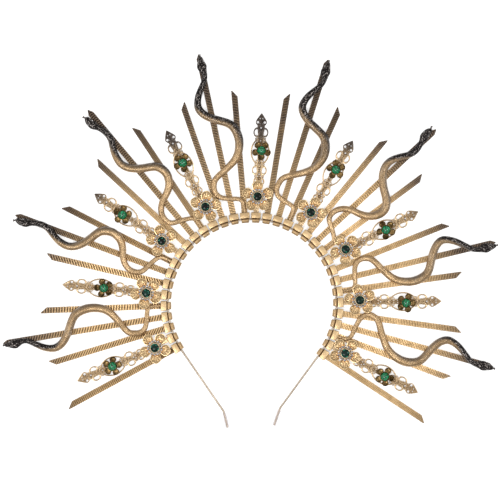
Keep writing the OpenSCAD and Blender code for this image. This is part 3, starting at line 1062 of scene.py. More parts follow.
@dataclass(frozen=True)
class Layout:
    """Where the crown's parts stand, in millimetres and degrees."""

    centre: Point2 = (1.22, -46.61)
    band_r: float = 63.4
    first_cap: float = 210.3
    last_cap: float = -35.3
    cap_count: int = 35
    cap_in: float = 63.8
    cap_len: float = 4.8
    cap_w: float = 7.2
    cap_h: float = 5.0
    strip_z: float = 1.2
    strip_t: float = 1.0
    strip_in: float = 66.4
    snake_z: float = 2.35

    # How far up the crown the upper strips begin, on the left and on the right
    upper_left: float = 0.62
    upper_right: float = 0.8

    # Patina of the side and the upper strips: reach and how dark
    side_patina: tuple[Point2, ...] = (
        (104, 0.04), (126, 0.22), (136, 0.39), (146, 0.55), (156, 0.67), (168, 0.92))
    top_patina: tuple[Point2, ...] = ((76, 0.32), (156, 0.78), (180, 0.95))

    # Reach at which the snakes and the pierced bands start to blacken
    snake_dark: float = 132.0
    band_dark: float = 107.0

    @property
    def strip_lift(self) -> Matrix:
        """Lifts a strip to its height."""
        return shift(0, 0, self.strip_z + self.strip_t / 2)

    def at_cap(self, number: float) -> Matrix:
        """The place of a cap: X across it, Y outward."""
        step = (self.first_cap - self.last_cap) / (self.cap_count - 1)
        return shift(*self.centre) @ turned(math.radians(self.first_cap - number * step - 90))

    def polar(self, spot: Vector) -> Point2:
        """Where a place lies, seen from the middle of the head opening.

        Args:
            spot: The place.

        Returns:
            Its distance, and how far up the crown it is, from -1 to 1.
        """
        x, y = spot.x - self.centre[0], spot.y - self.centre[1]
        reach = math.hypot(x, y)
        return reach, y / max(reach, 1e-6)

    def strip_patina(self, spot: Vector) -> float:
        """How dark a strip has become; the upper ones darken from the foot on.

        Args:
            spot: A place on it.

        Returns:
            The patina there.
        """
        reach, up = self.polar(spot)
        upper = self.upper_left if spot.x < 0 else self.upper_right
        share = ease(upper, upper + 0.1, up)
        return ((1 - share) * between(reach + 20 * min(up, 0.4) - 3, self.side_patina)
                + share * between(reach, self.top_patina))

    def snake_patina(self, spot: Vector, outer: float) -> float:
        """How dark a snake has become.

        Args:
            spot: A place on it.
            outer: 1 on its upper side, -1 on its lower side.

        Returns:
            The patina there.
        """
        reach, up = self.polar(spot)
        start = self.snake_dark - 7 * ease(0.8, 1, up)
        early = (0.42 + 0.22 * ease(0.75, 0.95, up)) * (1 + 0.6 * outer)
        return max(ease(start, start + 34, reach + 17 * outer),
                   early * ease(98, 132, reach + 9 * outer))

    def band_patina(self, spot: Vector) -> float:
        """How dark a pierced band has become.

        Args:
            spot: A place on it.

        Returns:
            The patina there.
        """
        reach, up = self.polar(spot)
        start = self.band_dark + 14 * ease(0.99, 0.8, up) + 12 * ease(0.8, 0.1, up)
        return 0.9 * ease(start, start + 28, reach)


@dataclass
class EndCaps:
    """The 35 box-shaped caps with the loops that the wire runs through."""

    layout: Layout
    bevel: float = 0.4
    wall: float = 0.95
    inset: float = 0.3
    socket_depth: float = 2.6
    loop_back: float = 1.1
    loop_w: float = 5.5
    loop_d: float = 3.9
    loop_chamfer: float = 0.5
    bore_r: float = 1.05
    bore_depth: float = 1.4
    wire_z: float = 2.5
    # Painted shade on the box's flanks, on its back next to the loop, and over the loop.
    flank_shade: float = 0.6
    back_shade: float = 0.7
    loop_shade: float = 0.4
    top_age: float = 0.38

    def box(self) -> Mesh:
        """The cap's box, open outward for the strip.

        Returns:
            The box.
        """
        lay, shape = self.layout, new_shape()
        back, front = lay.cap_in + self.inset, lay.cap_in + lay.cap_len
        half_w, half_h = lay.cap_w / 2, lay.cap_h / 2
        bmesh.ops.create_cube(shape, size=1, matrix=shift(0, (back + front) / 2, half_h)
                              @ sized(lay.cap_w, lay.cap_len - self.inset, lay.cap_h))
        mouth = max(shape.faces, key=lambda f: f.calc_center_median().y)
        bmesh.ops.inset_region(shape, faces=[mouth], thickness=self.wall, depth=0,
                               use_even_offset=True)
        pull(shape, [mouth], (0, -self.socket_depth, 0))
        bmesh.ops.delete(shape, geom=[mouth], context="FACES_ONLY")
        soften(shape, [e for e in shape.edges
                       if all(abs(abs(v.co.x) - half_w) < WELD
                              or min(v.co.z, lay.cap_h - v.co.z) < WELD for v in e.verts)],
               self.bevel)
        groove = Mark.GROOVE.on(shape)
        # Painted shade deep inside the socket.
        for vert in shape.verts:
            x, y, z = vert.co
            if (abs(x) < half_w - self.bevel and abs(z - half_h) < half_h - 0.75
                    and lay.cap_in + 0.5 < y < front - 1):
                vert[groove] = 1.0
        # Painted shade on the box's flanks.
        shade_flanks(shape, self.flank_shade)
        # Painted shade on the box's back next to the loop, which also dims the highlight on its
        # bevel.
        for vert in shape.verts:
            if vert.co.y < back + 0.75 * self.bevel:
                vert[groove] = self.back_shade
        return part(shape, "cap_box", flat=4)

    def loop(self) -> Mesh:
        """The barrel on the cap's inner side, bored for the wire.

        Returns:
            The barrel.
        """
        lay, shape = self.layout, new_shape()
        loop_y, loop_r = lay.cap_in - self.loop_back, self.loop_d / 2
        bmesh.ops.create_cone(shape, cap_ends=True, segments=24, radius1=loop_r, radius2=loop_r,
                              depth=self.loop_w,
                              matrix=shift(0, loop_y, self.wire_z) @ turned(math.pi / 2, "Y"))
        ends = [f for f in shape.faces if abs(f.normal.x) > 0.9]
        soften(shape, list({e for f in ends for e in f.edges}), self.loop_chamfer)
        ends = [f for f in shape.faces if len(f.verts) > 8]
        bmesh.ops.inset_individual(shape, faces=ends, depth=0, use_even_offset=True,
                                   thickness=loop_r - self.loop_chamfer - self.bore_r)
        groove = Mark.GROOVE.on(shape)
        # The loop is painted darker than the box, and darker still next to it: painted shade.
        for vert in shape.verts:
            vert[groove] = self.loop_shade + 0.6 * ease(0.2, 1.0, vert.co.y - loop_y)
        for end in ends:
            bmesh.ops.translate(shape, vec=(0, (lay.band_r - loop_y) * 0.5, 0), verts=end.verts)
            inward = -1 if end.calc_center_median().x > 0 else 1
            # Painted shade inside the bore.
            for vert in pull(shape, [end], (inward * self.bore_depth, 0, 0)):
                vert[groove] = 1.0
            bmesh.ops.delete(shape, geom=[end], context="FACES_ONLY")
        return part(shape, "cap_loop")

    def build(self) -> None:
        """Builds the whole row as one piece."""
        lay, piece = self.layout, Piece("end_caps")
        box, loop = self.box(), self.loop()
        for number in range(lay.cap_count):
            piece.add(box, lay.at_cap(number))
            piece.add(loop, lay.at_cap(number))
        piece.age(lambda spot: self.top_age * ease(0.75, 0.95, lay.polar(spot)[1]))
        piece.set_down([Look.CAP], Slot.CAP, "cap_row")


@dataclass
class Strip:
    """A flat metal strip with a rolled pattern on both faces."""

    layout: Layout
    width: float
    weave: Weave
    slant: float
    foot: float
    tip: float
    cuts: Sequence[Cut] = ()
    # How strong the rib tops' painted highlight and lighter patina are.
    shine: float = 1.0
    pinch: float = 0.035
    # How far the rib tops are lifted to the bright colour: painted highlight, partly rubbed wear.
    rubbed_sheen: float = 0.85

    # Rows of points for each rib: where they lie in the pitch, and how deep
    phases: Row = (0.0, 0.24, 0.5, 0.76)
    sunk: Row = (1.0, 0.82, 0.0, 0.82)

    def build(self) -> Mesh:
        """The strip along Y, with its middle at height 0.

        Returns:
            The strip.
        """
        weave, shape = self.weave, new_shape()
        groove, raised, lit = (mark.on(shape) for mark in (Mark.GROOVE, Mark.RAISED, Mark.LIT))
        skew = math.tan(math.radians(self.slant))
        spare = abs(skew) * self.width + 1
        ribs = math.ceil((self.tip - self.foot + 2 * spare) / weave.pitch)
        rows = ribs * len(self.phases)
        bmesh.ops.create_grid(shape, x_segments=weave.columns, y_segments=rows, size=0.5,
                              matrix=sized(self.width, rows))
        for vert in shape.verts:
            x, y, _ = vert.co
            rib, phase = divmod(round(y + rows / 2), len(self.phases))
            vert[groove] = self.sunk[phase]
            vert[raised] = (1 - self.sunk[phase]) * self.shine
            # Painted highlight on the rib tops.
            vert[lit] = self.rubbed_sheen * vert[raised] * weave.shading_and_dirt
            fold = abs(abs(x) - self.width / 4) if weave is Weave.CHEVRON else x
            vert.co.y = (self.foot - spare + (rib + self.phases[phase]) * weave.pitch
                         + skew * fold)
        for place, out in (((0.0, self.foot), (0.0, -1.0)), ((0.0, self.tip), (0.0, 1.0)),
                           *self.cuts):
            bmesh.ops.bisect_plane(shape, geom=[*shape.verts, *shape.edges, *shape.faces],
                                   dist=1e-5, plane_co=(*place, 0), plane_no=(*out, 0),
                                   clear_outer=True)
        front = set(pull(shape, list(shape.faces)))
        for vert in shape.verts:
            rise = self.layout.strip_t / 2 - weave.depth * vert[groove]
            vert.co.z = rise if vert in front else -rise
            vert.co.x *= 1 - self.pinch * vert[groove]
            vert[groove] *= weave.shading_and_dirt
        return part(shape, "strip")


@dataclass
class RayStrips:
    """The 26 strips that stand out like rays."""

    layout: Layout
    width: float = 4.6
    middle_tip: float = 190.5
    side_tip: float = 159.5
    side_cut: float = 5.0
    middle_cut: float = 4.0
    point_in: float = 0.5

    # Cap, turn about the foot, side of the point, extra reach, pattern, its slant, extra age
    rows: tuple[tuple[int, float, int, float, Weave, float, float], ...] = (
        (0, -1.8, -1, -0.6, Weave.RIBBED, -52, 0), (2, 1.1, 1, -0.6, Weave.RIBBED, -40, 0),
        (3, 0.7, 0, -0.7, Weave.RIBBED, -24, 0), (4, 0.8, -1, -0.3, Weave.RIBBED, -5, 0),
        (6, -0.1, 1, -0.7, Weave.RIBBED, 32, 0), (7, -0.4, 0, -0.2, Weave.RIBBED, 46, 0),
        (8, 0.4, -1, 0.7, Weave.RIBBED, 54, -0.1), (10, -0.9, 1, -0.2, Weave.FINE, 10, 0),
        (11, -0.8, 0, 0.6, Weave.CHEVRON, 24, -0.05), (12, 0, -1, 0.4, Weave.FINE, 20, 0.07),
        (14, 0.1, 1, 0.4, Weave.SOFT, -38, 0.08), (15, 0.3, 0, 1.4, Weave.SOFT, -27, 0.05),
        (16, 0.2, -1, 1.5, Weave.SOFT, -18, 0.11), (18, 0.3, 1, 0.8, Weave.SOFT, 20, 0.1),
        (19, -0.5, 0, 1.7, Weave.SOFT, 38, 0), (20, 0, -1, 1.8, Weave.SOFT, 42, 0.05),
        (22, -0.7, 1, 0, Weave.FINE, 10, 0.26), (23, -1.1, 0, 0.2, Weave.CHEVRON, 28, 0),
        (24, -0.4, -1, 1.1, Weave.FINE, 12, 0.2), (26, -0.6, 1, -0.1, Weave.SOFT, -48, 0.05),
        (27, -1.7, 0, -1.6, Weave.SOFT, -31, 0.04), (28, -0.2, -1, -0.2, Weave.SOFT, -18, 0.05),
        (30, -1.4, 1, -0.9, Weave.SOFT, 17, 0.08), (31, -1.7, 0, -2.8, Weave.SOFT, 38, 0.1),
        (32, 0.2, -1, -0.5, Weave.SOFT, 47, 0.16), (34, 2, 1, -2.1, Weave.FINE, -14, 0.14),
    )

    def cuts(self, side: int, tip: float) -> list[Cut]:
        """The planes that cut a strip's end.

        Args:
            side: Side of the point, or 0 where it is in the middle.
            tip: Where the point is, outward.

        Returns:
            A point on each plane and its outward direction.
        """
        half = self.width / 2
        if side == 0:
            return [((0.0, tip), (edge * self.middle_cut, half)) for edge in (1, -1)]
        point = (side * (half - self.point_in), tip)
        return [(point, (-side * self.side_cut, 2 * half - self.point_in)),
                (point, (side * 0.8, 0.5))]

    def build(self) -> None:
        """Builds every strip as a piece of its own."""
        lay = self.layout
        foot = shift(0, lay.strip_in)
        for number, (cap, turn, side, extra, weave, slant, age) in enumerate(self.rows, 1):
            tip = (self.side_tip if side else self.middle_tip) + extra
            up = (lay.at_cap(cap).to_3x3() @ Vector((0, 1, 0))).y
            # The upper strips get less painted highlight and lighter patina on their rib tops.
            strip = Strip(lay, self.width, weave, slant, lay.strip_in, tip, self.cuts(side, tip),
                          1 - 0.35 * ease(0.7, 0.95, up))
            piece = Piece(f"ray_strip_{number}")
            piece.add(strip.build(), lay.at_cap(cap) @ foot @ turned(math.radians(turn))
                      @ foot.inverted() @ lay.strip_lift)
            piece.age(lambda spot: lay.strip_patina(spot)
                      + age * (1 - 0.8 * ease(108, 140, lay.polar(spot)[0])))
            piece.set_down([Look.STRIP], Slot.STRIP, f"ray_{number}")


@dataclass
class Snakes:
    """The eight cast snakes over the middle strips."""

    layout: Layout
    sides: int = 24
    steps: int = 6
    belly: float = 0.35
    tail_out: float = 75.0
    bends: Row = (88, 120, 150, 181)
    fuller: float = 0.45
    tail_fuller: float = 0.85
    jaw_fuller: float = 1.1
    jaw_back: float = 8.0
    mouth_depth: float = 0.22
    brow_rise: float = 0.28
    brow_up: float = math.radians(58)
    eye_r: float = 0.62
    eye_up: float = math.radians(52)
    eye_tilt: float = 0.8
    nostril_r: float = 0.24
    tongue_z: float = 0.45
    tongue_w: float = 0.75
    tongue_t: float = 0.2
    fork: float = 0.85
    tine_steps: Row = (0.0, 0.32, 0.62, 0.85)

    # Rows of the table back from the nose: eyes, nostrils, points and middle of the brows
    eye_back: float = 2.4
    nostril_back: float = 0.8
    brow_backs: Row = (0.9, 1.4, 1.9, 2.4, 2.9, 3.4)
    brow_middle: float = 2.3

    # Cap, form, sideways shift at each bend, slide outward
    rows: tuple[tuple[int, Form, Row, float], ...] = (
        (3, Form.UPRIGHT, (0, 0, 0, 0), 0), (7, Form.CURLING, (0, 0, 0, 0), 0),
        (11, Form.CURLING, (-0.2, 1.5, 1.5, -0.9), -0.8),
        (15, Form.UPRIGHT, (-1.3, 0.8, 1.4, 2.9), 1.5),
        (19, Form.UPRIGHT, (1.4, 4.3, 3.4, 5), 2), (23, Form.CURLING, (0.8, 5.1, 2.4, 1.9), -0.4),
        (27, Form.UPRIGHT, (-2.1, 0.4, 1.9, 8.9), 0), (31, Form.UPRIGHT, (-4.3, 0, 2.3, 7.4), -0.9),
    )

    def path(self, form: Form, shifts: Row, slide: float) -> list[Row]:
        """Bends and slides a form as one snake is.

        Args:
            form: The form.
            shifts: Sideways shift at each bend.
            slide: How far it lies outward.

        Returns:
            The snake's table.
        """
        across = [(self.tail_out, 0.0), *zip(self.bends, shifts)]
        outward = [(self.tail_out, 0.0), (self.bends[0], slide)]
        return [(x + between(y, across), y + between(y, outward), wide, high)
                for x, y, wide, high in form.value]

    def body(self, path: Sequence[Row], place: Matrix) -> tuple[Mesh, list[Matrix]]:
        """The body and head as one swept shape.

        Args:
            path: The snake's table, whose last two rows are its tongue's.
            place: Where its cap stands, for its patina.

        Returns:
            The shape and the frames that it was drawn along.
        """
        lay, steps, half_turn = self.layout, self.steps, self.sides // 2
        points = smooth_rows(path[:-2], steps)
        upper = 1 - self.belly
        jaw = points[-1][1] - self.jaw_back
        rows = [(x, y, lay.snake_z + self.belly * high,
                 (wide + self.fuller * (1 - 0.4 * ease(160, 172, y))
                  + self.tail_fuller * ease(70, 76, y) * (1 - ease(90, 106, y))
                  + self.jaw_fuller * swell(jaw, 2.4, y)) / 2, upper * high)
                for x, y, wide, high in points]
        frames = stations(rows)
        shape, rings = sweep(frames, self.sides, self.belly / upper)
        groove, patina, lit = (mark.on(shape) for mark in (Mark.GROOVE, Mark.PATINA, Mark.LIT))
        count = len(rings)
        nose = count - 5 * steps
        for i, ring in enumerate(rings):
            side = frames[i].to_3x3().col[0].normalized()
            mouth = ease(nose, nose + steps, i) * (1 - ease(count - 3, count - 1, i))
            brow = swell(count - 2.6 * steps, 0.9 * steps, i)
            outward = (place.to_3x3() @ side).dot(Vector((0.4, 0.917, 0)))
            slim = 1 - ease(1.3, 2.4, rows[i][3])
            for j, vert in enumerate(ring):
                angle = math.tau * j / self.sides
                if j in (0, half_turn):
                    vert.co -= side * math.cos(angle) * self.mouth_depth * mouth
                    vert[groove] = mouth
                top = max(0.0, math.sin(angle))
                # Patina, and painted shade on the underside, which faces the floor.
                vert[patina] = max(lay.snake_patina(place @ vert.co, math.cos(angle) * outward),
                                   0.3 * ease(0.3, 1.0, -math.sin(angle)))
                # Painted light: the flanks and underside are lifted to the bright colour, and thin
                # parts also along the top; less where the patina is.
                vert[lit] = max(ease(0.97, 0.6, top), 0.4 * slim * top) * (1 - vert[patina])
                if 0 < j < half_turn:
                    ridge = math.cos((abs(angle - math.pi / 2) - 0.85) * 3.2)
                    vert.co.z += self.brow_rise * brow * max(0.0, ridge)
        return part(shape, "snake_body", lay=False), frames

    @staticmethod
    def dark_wire(rows: Sequence[Row], name: str, sides: int = 6) -> Mesh:
        """A wire with the full patina, along rows of place, half width and half height."""
        return part(paint(sweep(stations(rows), sides)[0], Mark.PATINA, 1.0), name)

    def eyes(self, piece: Piece, frames: Sequence[Matrix], place: Matrix) -> None:
        """Adds the eyes, the nostrils and the brows.

        Args:
            piece: The snake's piece.
            frames: The frames of its body.
            place: Where its cap stands.
        """
        eye, nostril = part(bead(self.eye_r), "eye"), part(bead(self.nostril_r), "nostril")
        ring = wire_ring(self.eye_r + 0.04, 0.2, 0.22, 14, 6)
        # Painted highlight on the eyelids.
        lid = part(paint(ring, Mark.LIT, 0.5), "lid")
        at_eye, at_nose, *at_brow = (frames[-1 - int(back * self.steps)] for back in
                                     (self.eye_back, self.nostril_back, *self.brow_backs))
        for sign in (-1, 1):
            spot = at_eye @ Vector((sign * math.cos(self.eye_up), math.sin(self.eye_up), 0))
            lean = (shift(*spot) @ at_eye.to_3x3().normalized().to_4x4()
                    @ turned(sign * self.eye_tilt) @ turned(-math.pi / 2, "X"))
            piece.add(eye, place @ lean, 1)
            piece.add(lid, place @ lean, 0)
            piece.add(nostril, place @ shift(*(at_nose @ Vector((sign * 0.55, 0.72, 0)))), 1)
            ridge = []
            out = Vector((sign * math.cos(self.brow_up), math.sin(self.brow_up), 0))
            for at, back in zip(at_brow, self.brow_backs):
                full = swell(self.brow_middle, 0.8, back)
                x, y, z = at @ (out * (0.86 + 0.14 * full))
                ridge.append((x, y, z + 0.04 * full, 0.26 + 0.12 * full, 0.16 + 0.14 * full))
            piece.add(self.dark_wire(ridge, "brow", 8), place, 2)

    def tongue(self, piece: Piece, path: Sequence[Row], place: Matrix) -> None:
        """Adds the forked tongue.

        Args:
            piece: The snake's piece.
            path: The snake's table.
            place: Where its cap stands.
        """
        root, fork, end = (Vector(row[:2]) for row in path[-3:])
        z = self.layout.snake_z + self.tongue_z
        stem = [(*spot, z, self.tongue_w, self.tongue_t)
                for spot in (root * 1.6 - fork * 0.6, fork)]
        piece.add(self.dark_wire(stem, "tongue"), place, 2)
        along = end - fork
        across = Vector((-along.y, along.x)).normalized()
        for sign in (-1, 1):
            tine = [(*(fork + along * t + across * (sign * self.fork * t ** 1.4)),
                     z + 0.1 * t, 0.62 - 0.12 * t, self.tongue_t - 0.08 * t)
                    for t in self.tine_steps]
            piece.add(self.dark_wire(tine, "tine"), place, 2)

    def build(self) -> None:
        """Builds every snake as a piece of its own."""
        for number, (cap, form, shifts, slide) in enumerate(self.rows, 1):
            piece = Piece(f"cast_snake_{number}")
            place = self.layout.at_cap(cap)
            path = self.path(form, shifts, slide)
            body, frames = self.body(path, place)
            piece.add(body, place, 2)
            self.eyes(piece, frames, place)
            self.tongue(piece, path, place)
            piece.set_down([Look.HEAD, Look.EYE, Look.SNAKE], Slot.SNAKE, f"snake_{number}")


@dataclass
class Flowers:
    """The nine large flowers and their settings."""

    layout: Layout
    petal_r: float = 4.15
    petal_reach: float = 8.0
    petal_tilt: float = 6.0
    petal_z: float = 4.2
    petal_h: float = 1.4
    flutes: float = math.radians(17)
    flute_depth: float = 0.14
    collar_z: float = 4.4
    collar_top: float = 5.6
    bezel_top: float = 6.8
    crystal_reach: float = 5.08
    crystal_r: float = 0.84
    crystal_count: int = 14
    grain_r: float = 0.36
    grain_reach: float = 4.3
    grain_sunk: float = 0.28
    claw_r: float = 0.32
    claw_rise: float = 1.4
    claw_reach: float = 5.3
    claw_sunk: float = 0.3
    stone_r: float = 3.2
    milled: int = 56
    milled_to: float = 0.975

    # Cap, place across and outward, turn
    rows: tuple[tuple[int, float, float, float], ...] = (
        (1, -1.8, 80, 18), (5, 0, 79.8, 31), (9, 0.2, 82.5, 46), (13, 1, 80.7, 58),
        (17, 0.6, 80.5, 21), (21, 1.8, 81.4, 24), (25, -0.7, 81.1, 41), (29, -1.6, 80.8, 45),
        (33, -0.1, 79.1, 24),
    )

    def at_flower(self, row: Row) -> Matrix:
        """The place of a flower's centre."""
        return self.layout.at_cap(row[0]) @ shift(row[1], row[2])

    def petal(self) -> Mesh:
        """A dished petal with flutes that fan out from its foot at -Y.

        Returns:
            The petal.
        """
        r, h = self.petal_r, self.petal_h
        shape = lathe([(0, 0), (0.6 * r, 0.12 * h), (0.9 * r, 0.45 * h), (r, h),
                       (r - 0.12, h + 0.24), (r - 0.5, h + 0.28), (r - 0.68, h + 0.12),
                       (0.74 * r, 0.92 * h), (0.62 * r, 0.78 * h), (0.5 * r, 0.67 * h),
                       (0.36 * r, 0.6 * h), (0.2 * r, 0.56 * h), (0, 0.54 * h)], 72)
        groove, patina, lit = (mark.on(shape) for mark in (Mark.GROOVE, Mark.PATINA, Mark.LIT))
        for vert in shape.verts:
            x, y, z = vert.co
            reach, foot = math.hypot(x, y), y + 0.86 * r
            # Painted highlight on the rim.
            vert[lit] = ease(0.84 * r, 0.9 * r, reach)
            if z > 0.5 * h and reach < 0.86 * r:
                flute = math.cos(math.atan2(x, foot) * math.tau / self.flutes)
                depth = ease(0.1, 1.2, math.hypot(x, foot)) * (1 - ease(0.7 * r, 0.86 * r, reach))
                vert.co.z += self.flute_depth * flute * depth
                # Painted shade in the flutes' valleys; painted highlight on their ridges and on the
                # petal's outer half.
                vert[groove] = (0.85 * depth * ease(0.1, -1, flute)
                                * (1 - 0.4 * ease(0.2 * r, 0.7 * r, y)))
                vert[lit] = max(0.45 * depth * ease(0.2, 1, flute),
                                0.7 * ease(0.25 * r, 0.7 * r, y))
            lobe = 1 + 0.03 * math.cos(math.atan2(x, y) * 5) * ease(0.6 * r, r, reach)
            vert.co.x *= lobe
            vert.co.y *= lobe
            # Painted orange-brown shade towards the foot, next to the setting, stored as patina;
            # none under painted highlight.
            if z > 0.4 * h:
                vert[patina] = 0.95 * (1 - ease(0.9, 5.0, y + r)) * (1 - vert[lit])
        return part(shape, "petal")

    def post(self) -> BMesh:
        """The post under the setting."""
        low, high = self.layout.snake_z, self.collar_top - 0.2
        return lathe([(0, low), (3.0, low), (3.3, low + 0.3), (3.3, high), (0, high)], 32)

    def collar(self) -> BMesh:
        """The lobed collar that carries the crystals.

        Returns:
            The collar.
        """
        low, high, rim = self.collar_z, self.collar_top, self.crystal_reach + 1.12
        shape = lathe([(2.9, low), (rim - 0.5, low), (rim, low + 0.3), (rim, high - 0.75),
                       (rim - 0.2, high - 0.5), (3.4, high - 0.45), (2.9, high - 0.45)], 84)
        groove = Mark.GROOVE.on(shape)
        for vert in shape.verts:
            x, y, _ = vert.co
            reach = math.hypot(x, y)
            wave = 0.5 + 0.5 * math.cos(math.atan2(y, x) * self.crystal_count)
            pull_in = 1 - 0.16 * (1 - wave) ** 1.2 * ease(4.2, rim, reach)
            vert.co.x *= pull_in
            vert.co.y *= pull_in
            vert[groove] = 0.55 * ease(3.9, 4.3, reach) * (1 - ease(5.6, 6.0, reach))
        return shape

    def bezel(self) -> BMesh:
        """The milled bezel round the centre stone.

        Returns:
            The bezel.
        """
        low, high, top, seat = self.collar_z, self.collar_top, self.bezel_top, self.stone_r + 0.05
        shape = lathe([(seat, low), (seat + 0.75, low), (seat + 0.75, high),
                       (seat + 0.7, top - 0.35), (seat + 0.46, top - 0.04), (seat + 0.2, top),
                       (seat, top - 0.12), (seat, low)], self.milled)
        groove = Mark.GROOVE.on(shape)
        for vert in shape.verts:
            x, y, _ = vert.co
            step = round(math.atan2(y, x) / math.tau * self.milled)
            if step % 2 and math.hypot(x, y) > seat + 0.4:
                vert.co.x *= self.milled_to
                vert.co.y *= self.milled_to
                vert[groove] = 0.7
        return shape

    def build(self) -> None:
        """Builds every flower as a piece of its own."""
        petal, grain = self.petal(), part(bead(self.grain_r), "grain")
        claw = part(bead(self.claw_r, self.claw_rise), "claw")
        # Painted shade on the flanks of the post, collar and bezel.
        setting = [part(shade_flanks(shape, 0.8), "setting")
                   for shape in (self.post(), self.collar(), self.bezel())]
        for number, row in enumerate(self.rows, 1):
            piece = Piece(f"jewelled_flower_{number}")
            place = self.at_flower(row)
            for j in range(5):
                piece.add(petal, place @ turned(math.radians(row[3] - 90 + 72 * j))
                          @ shift(0, self.petal_reach, self.petal_z)
                          @ turned(math.radians(self.petal_tilt), "X"), 0)
            for mesh in setting:
                piece.add(mesh, place, 1)
            for j in range(self.crystal_count):
                turn = place @ turned(math.tau * (j + 0.5) / self.crystal_count)
                for mesh, out, sunk in ((grain, self.grain_reach, self.grain_sunk),
                                        (claw, self.claw_reach, self.claw_sunk)):
                    piece.add(mesh, turn @ shift(out, 0, self.collar_top - sunk), 1)
            piece.set_down([Look.PETAL, Look.SETTING], Slot.FLOWER, f"flower_{number}")


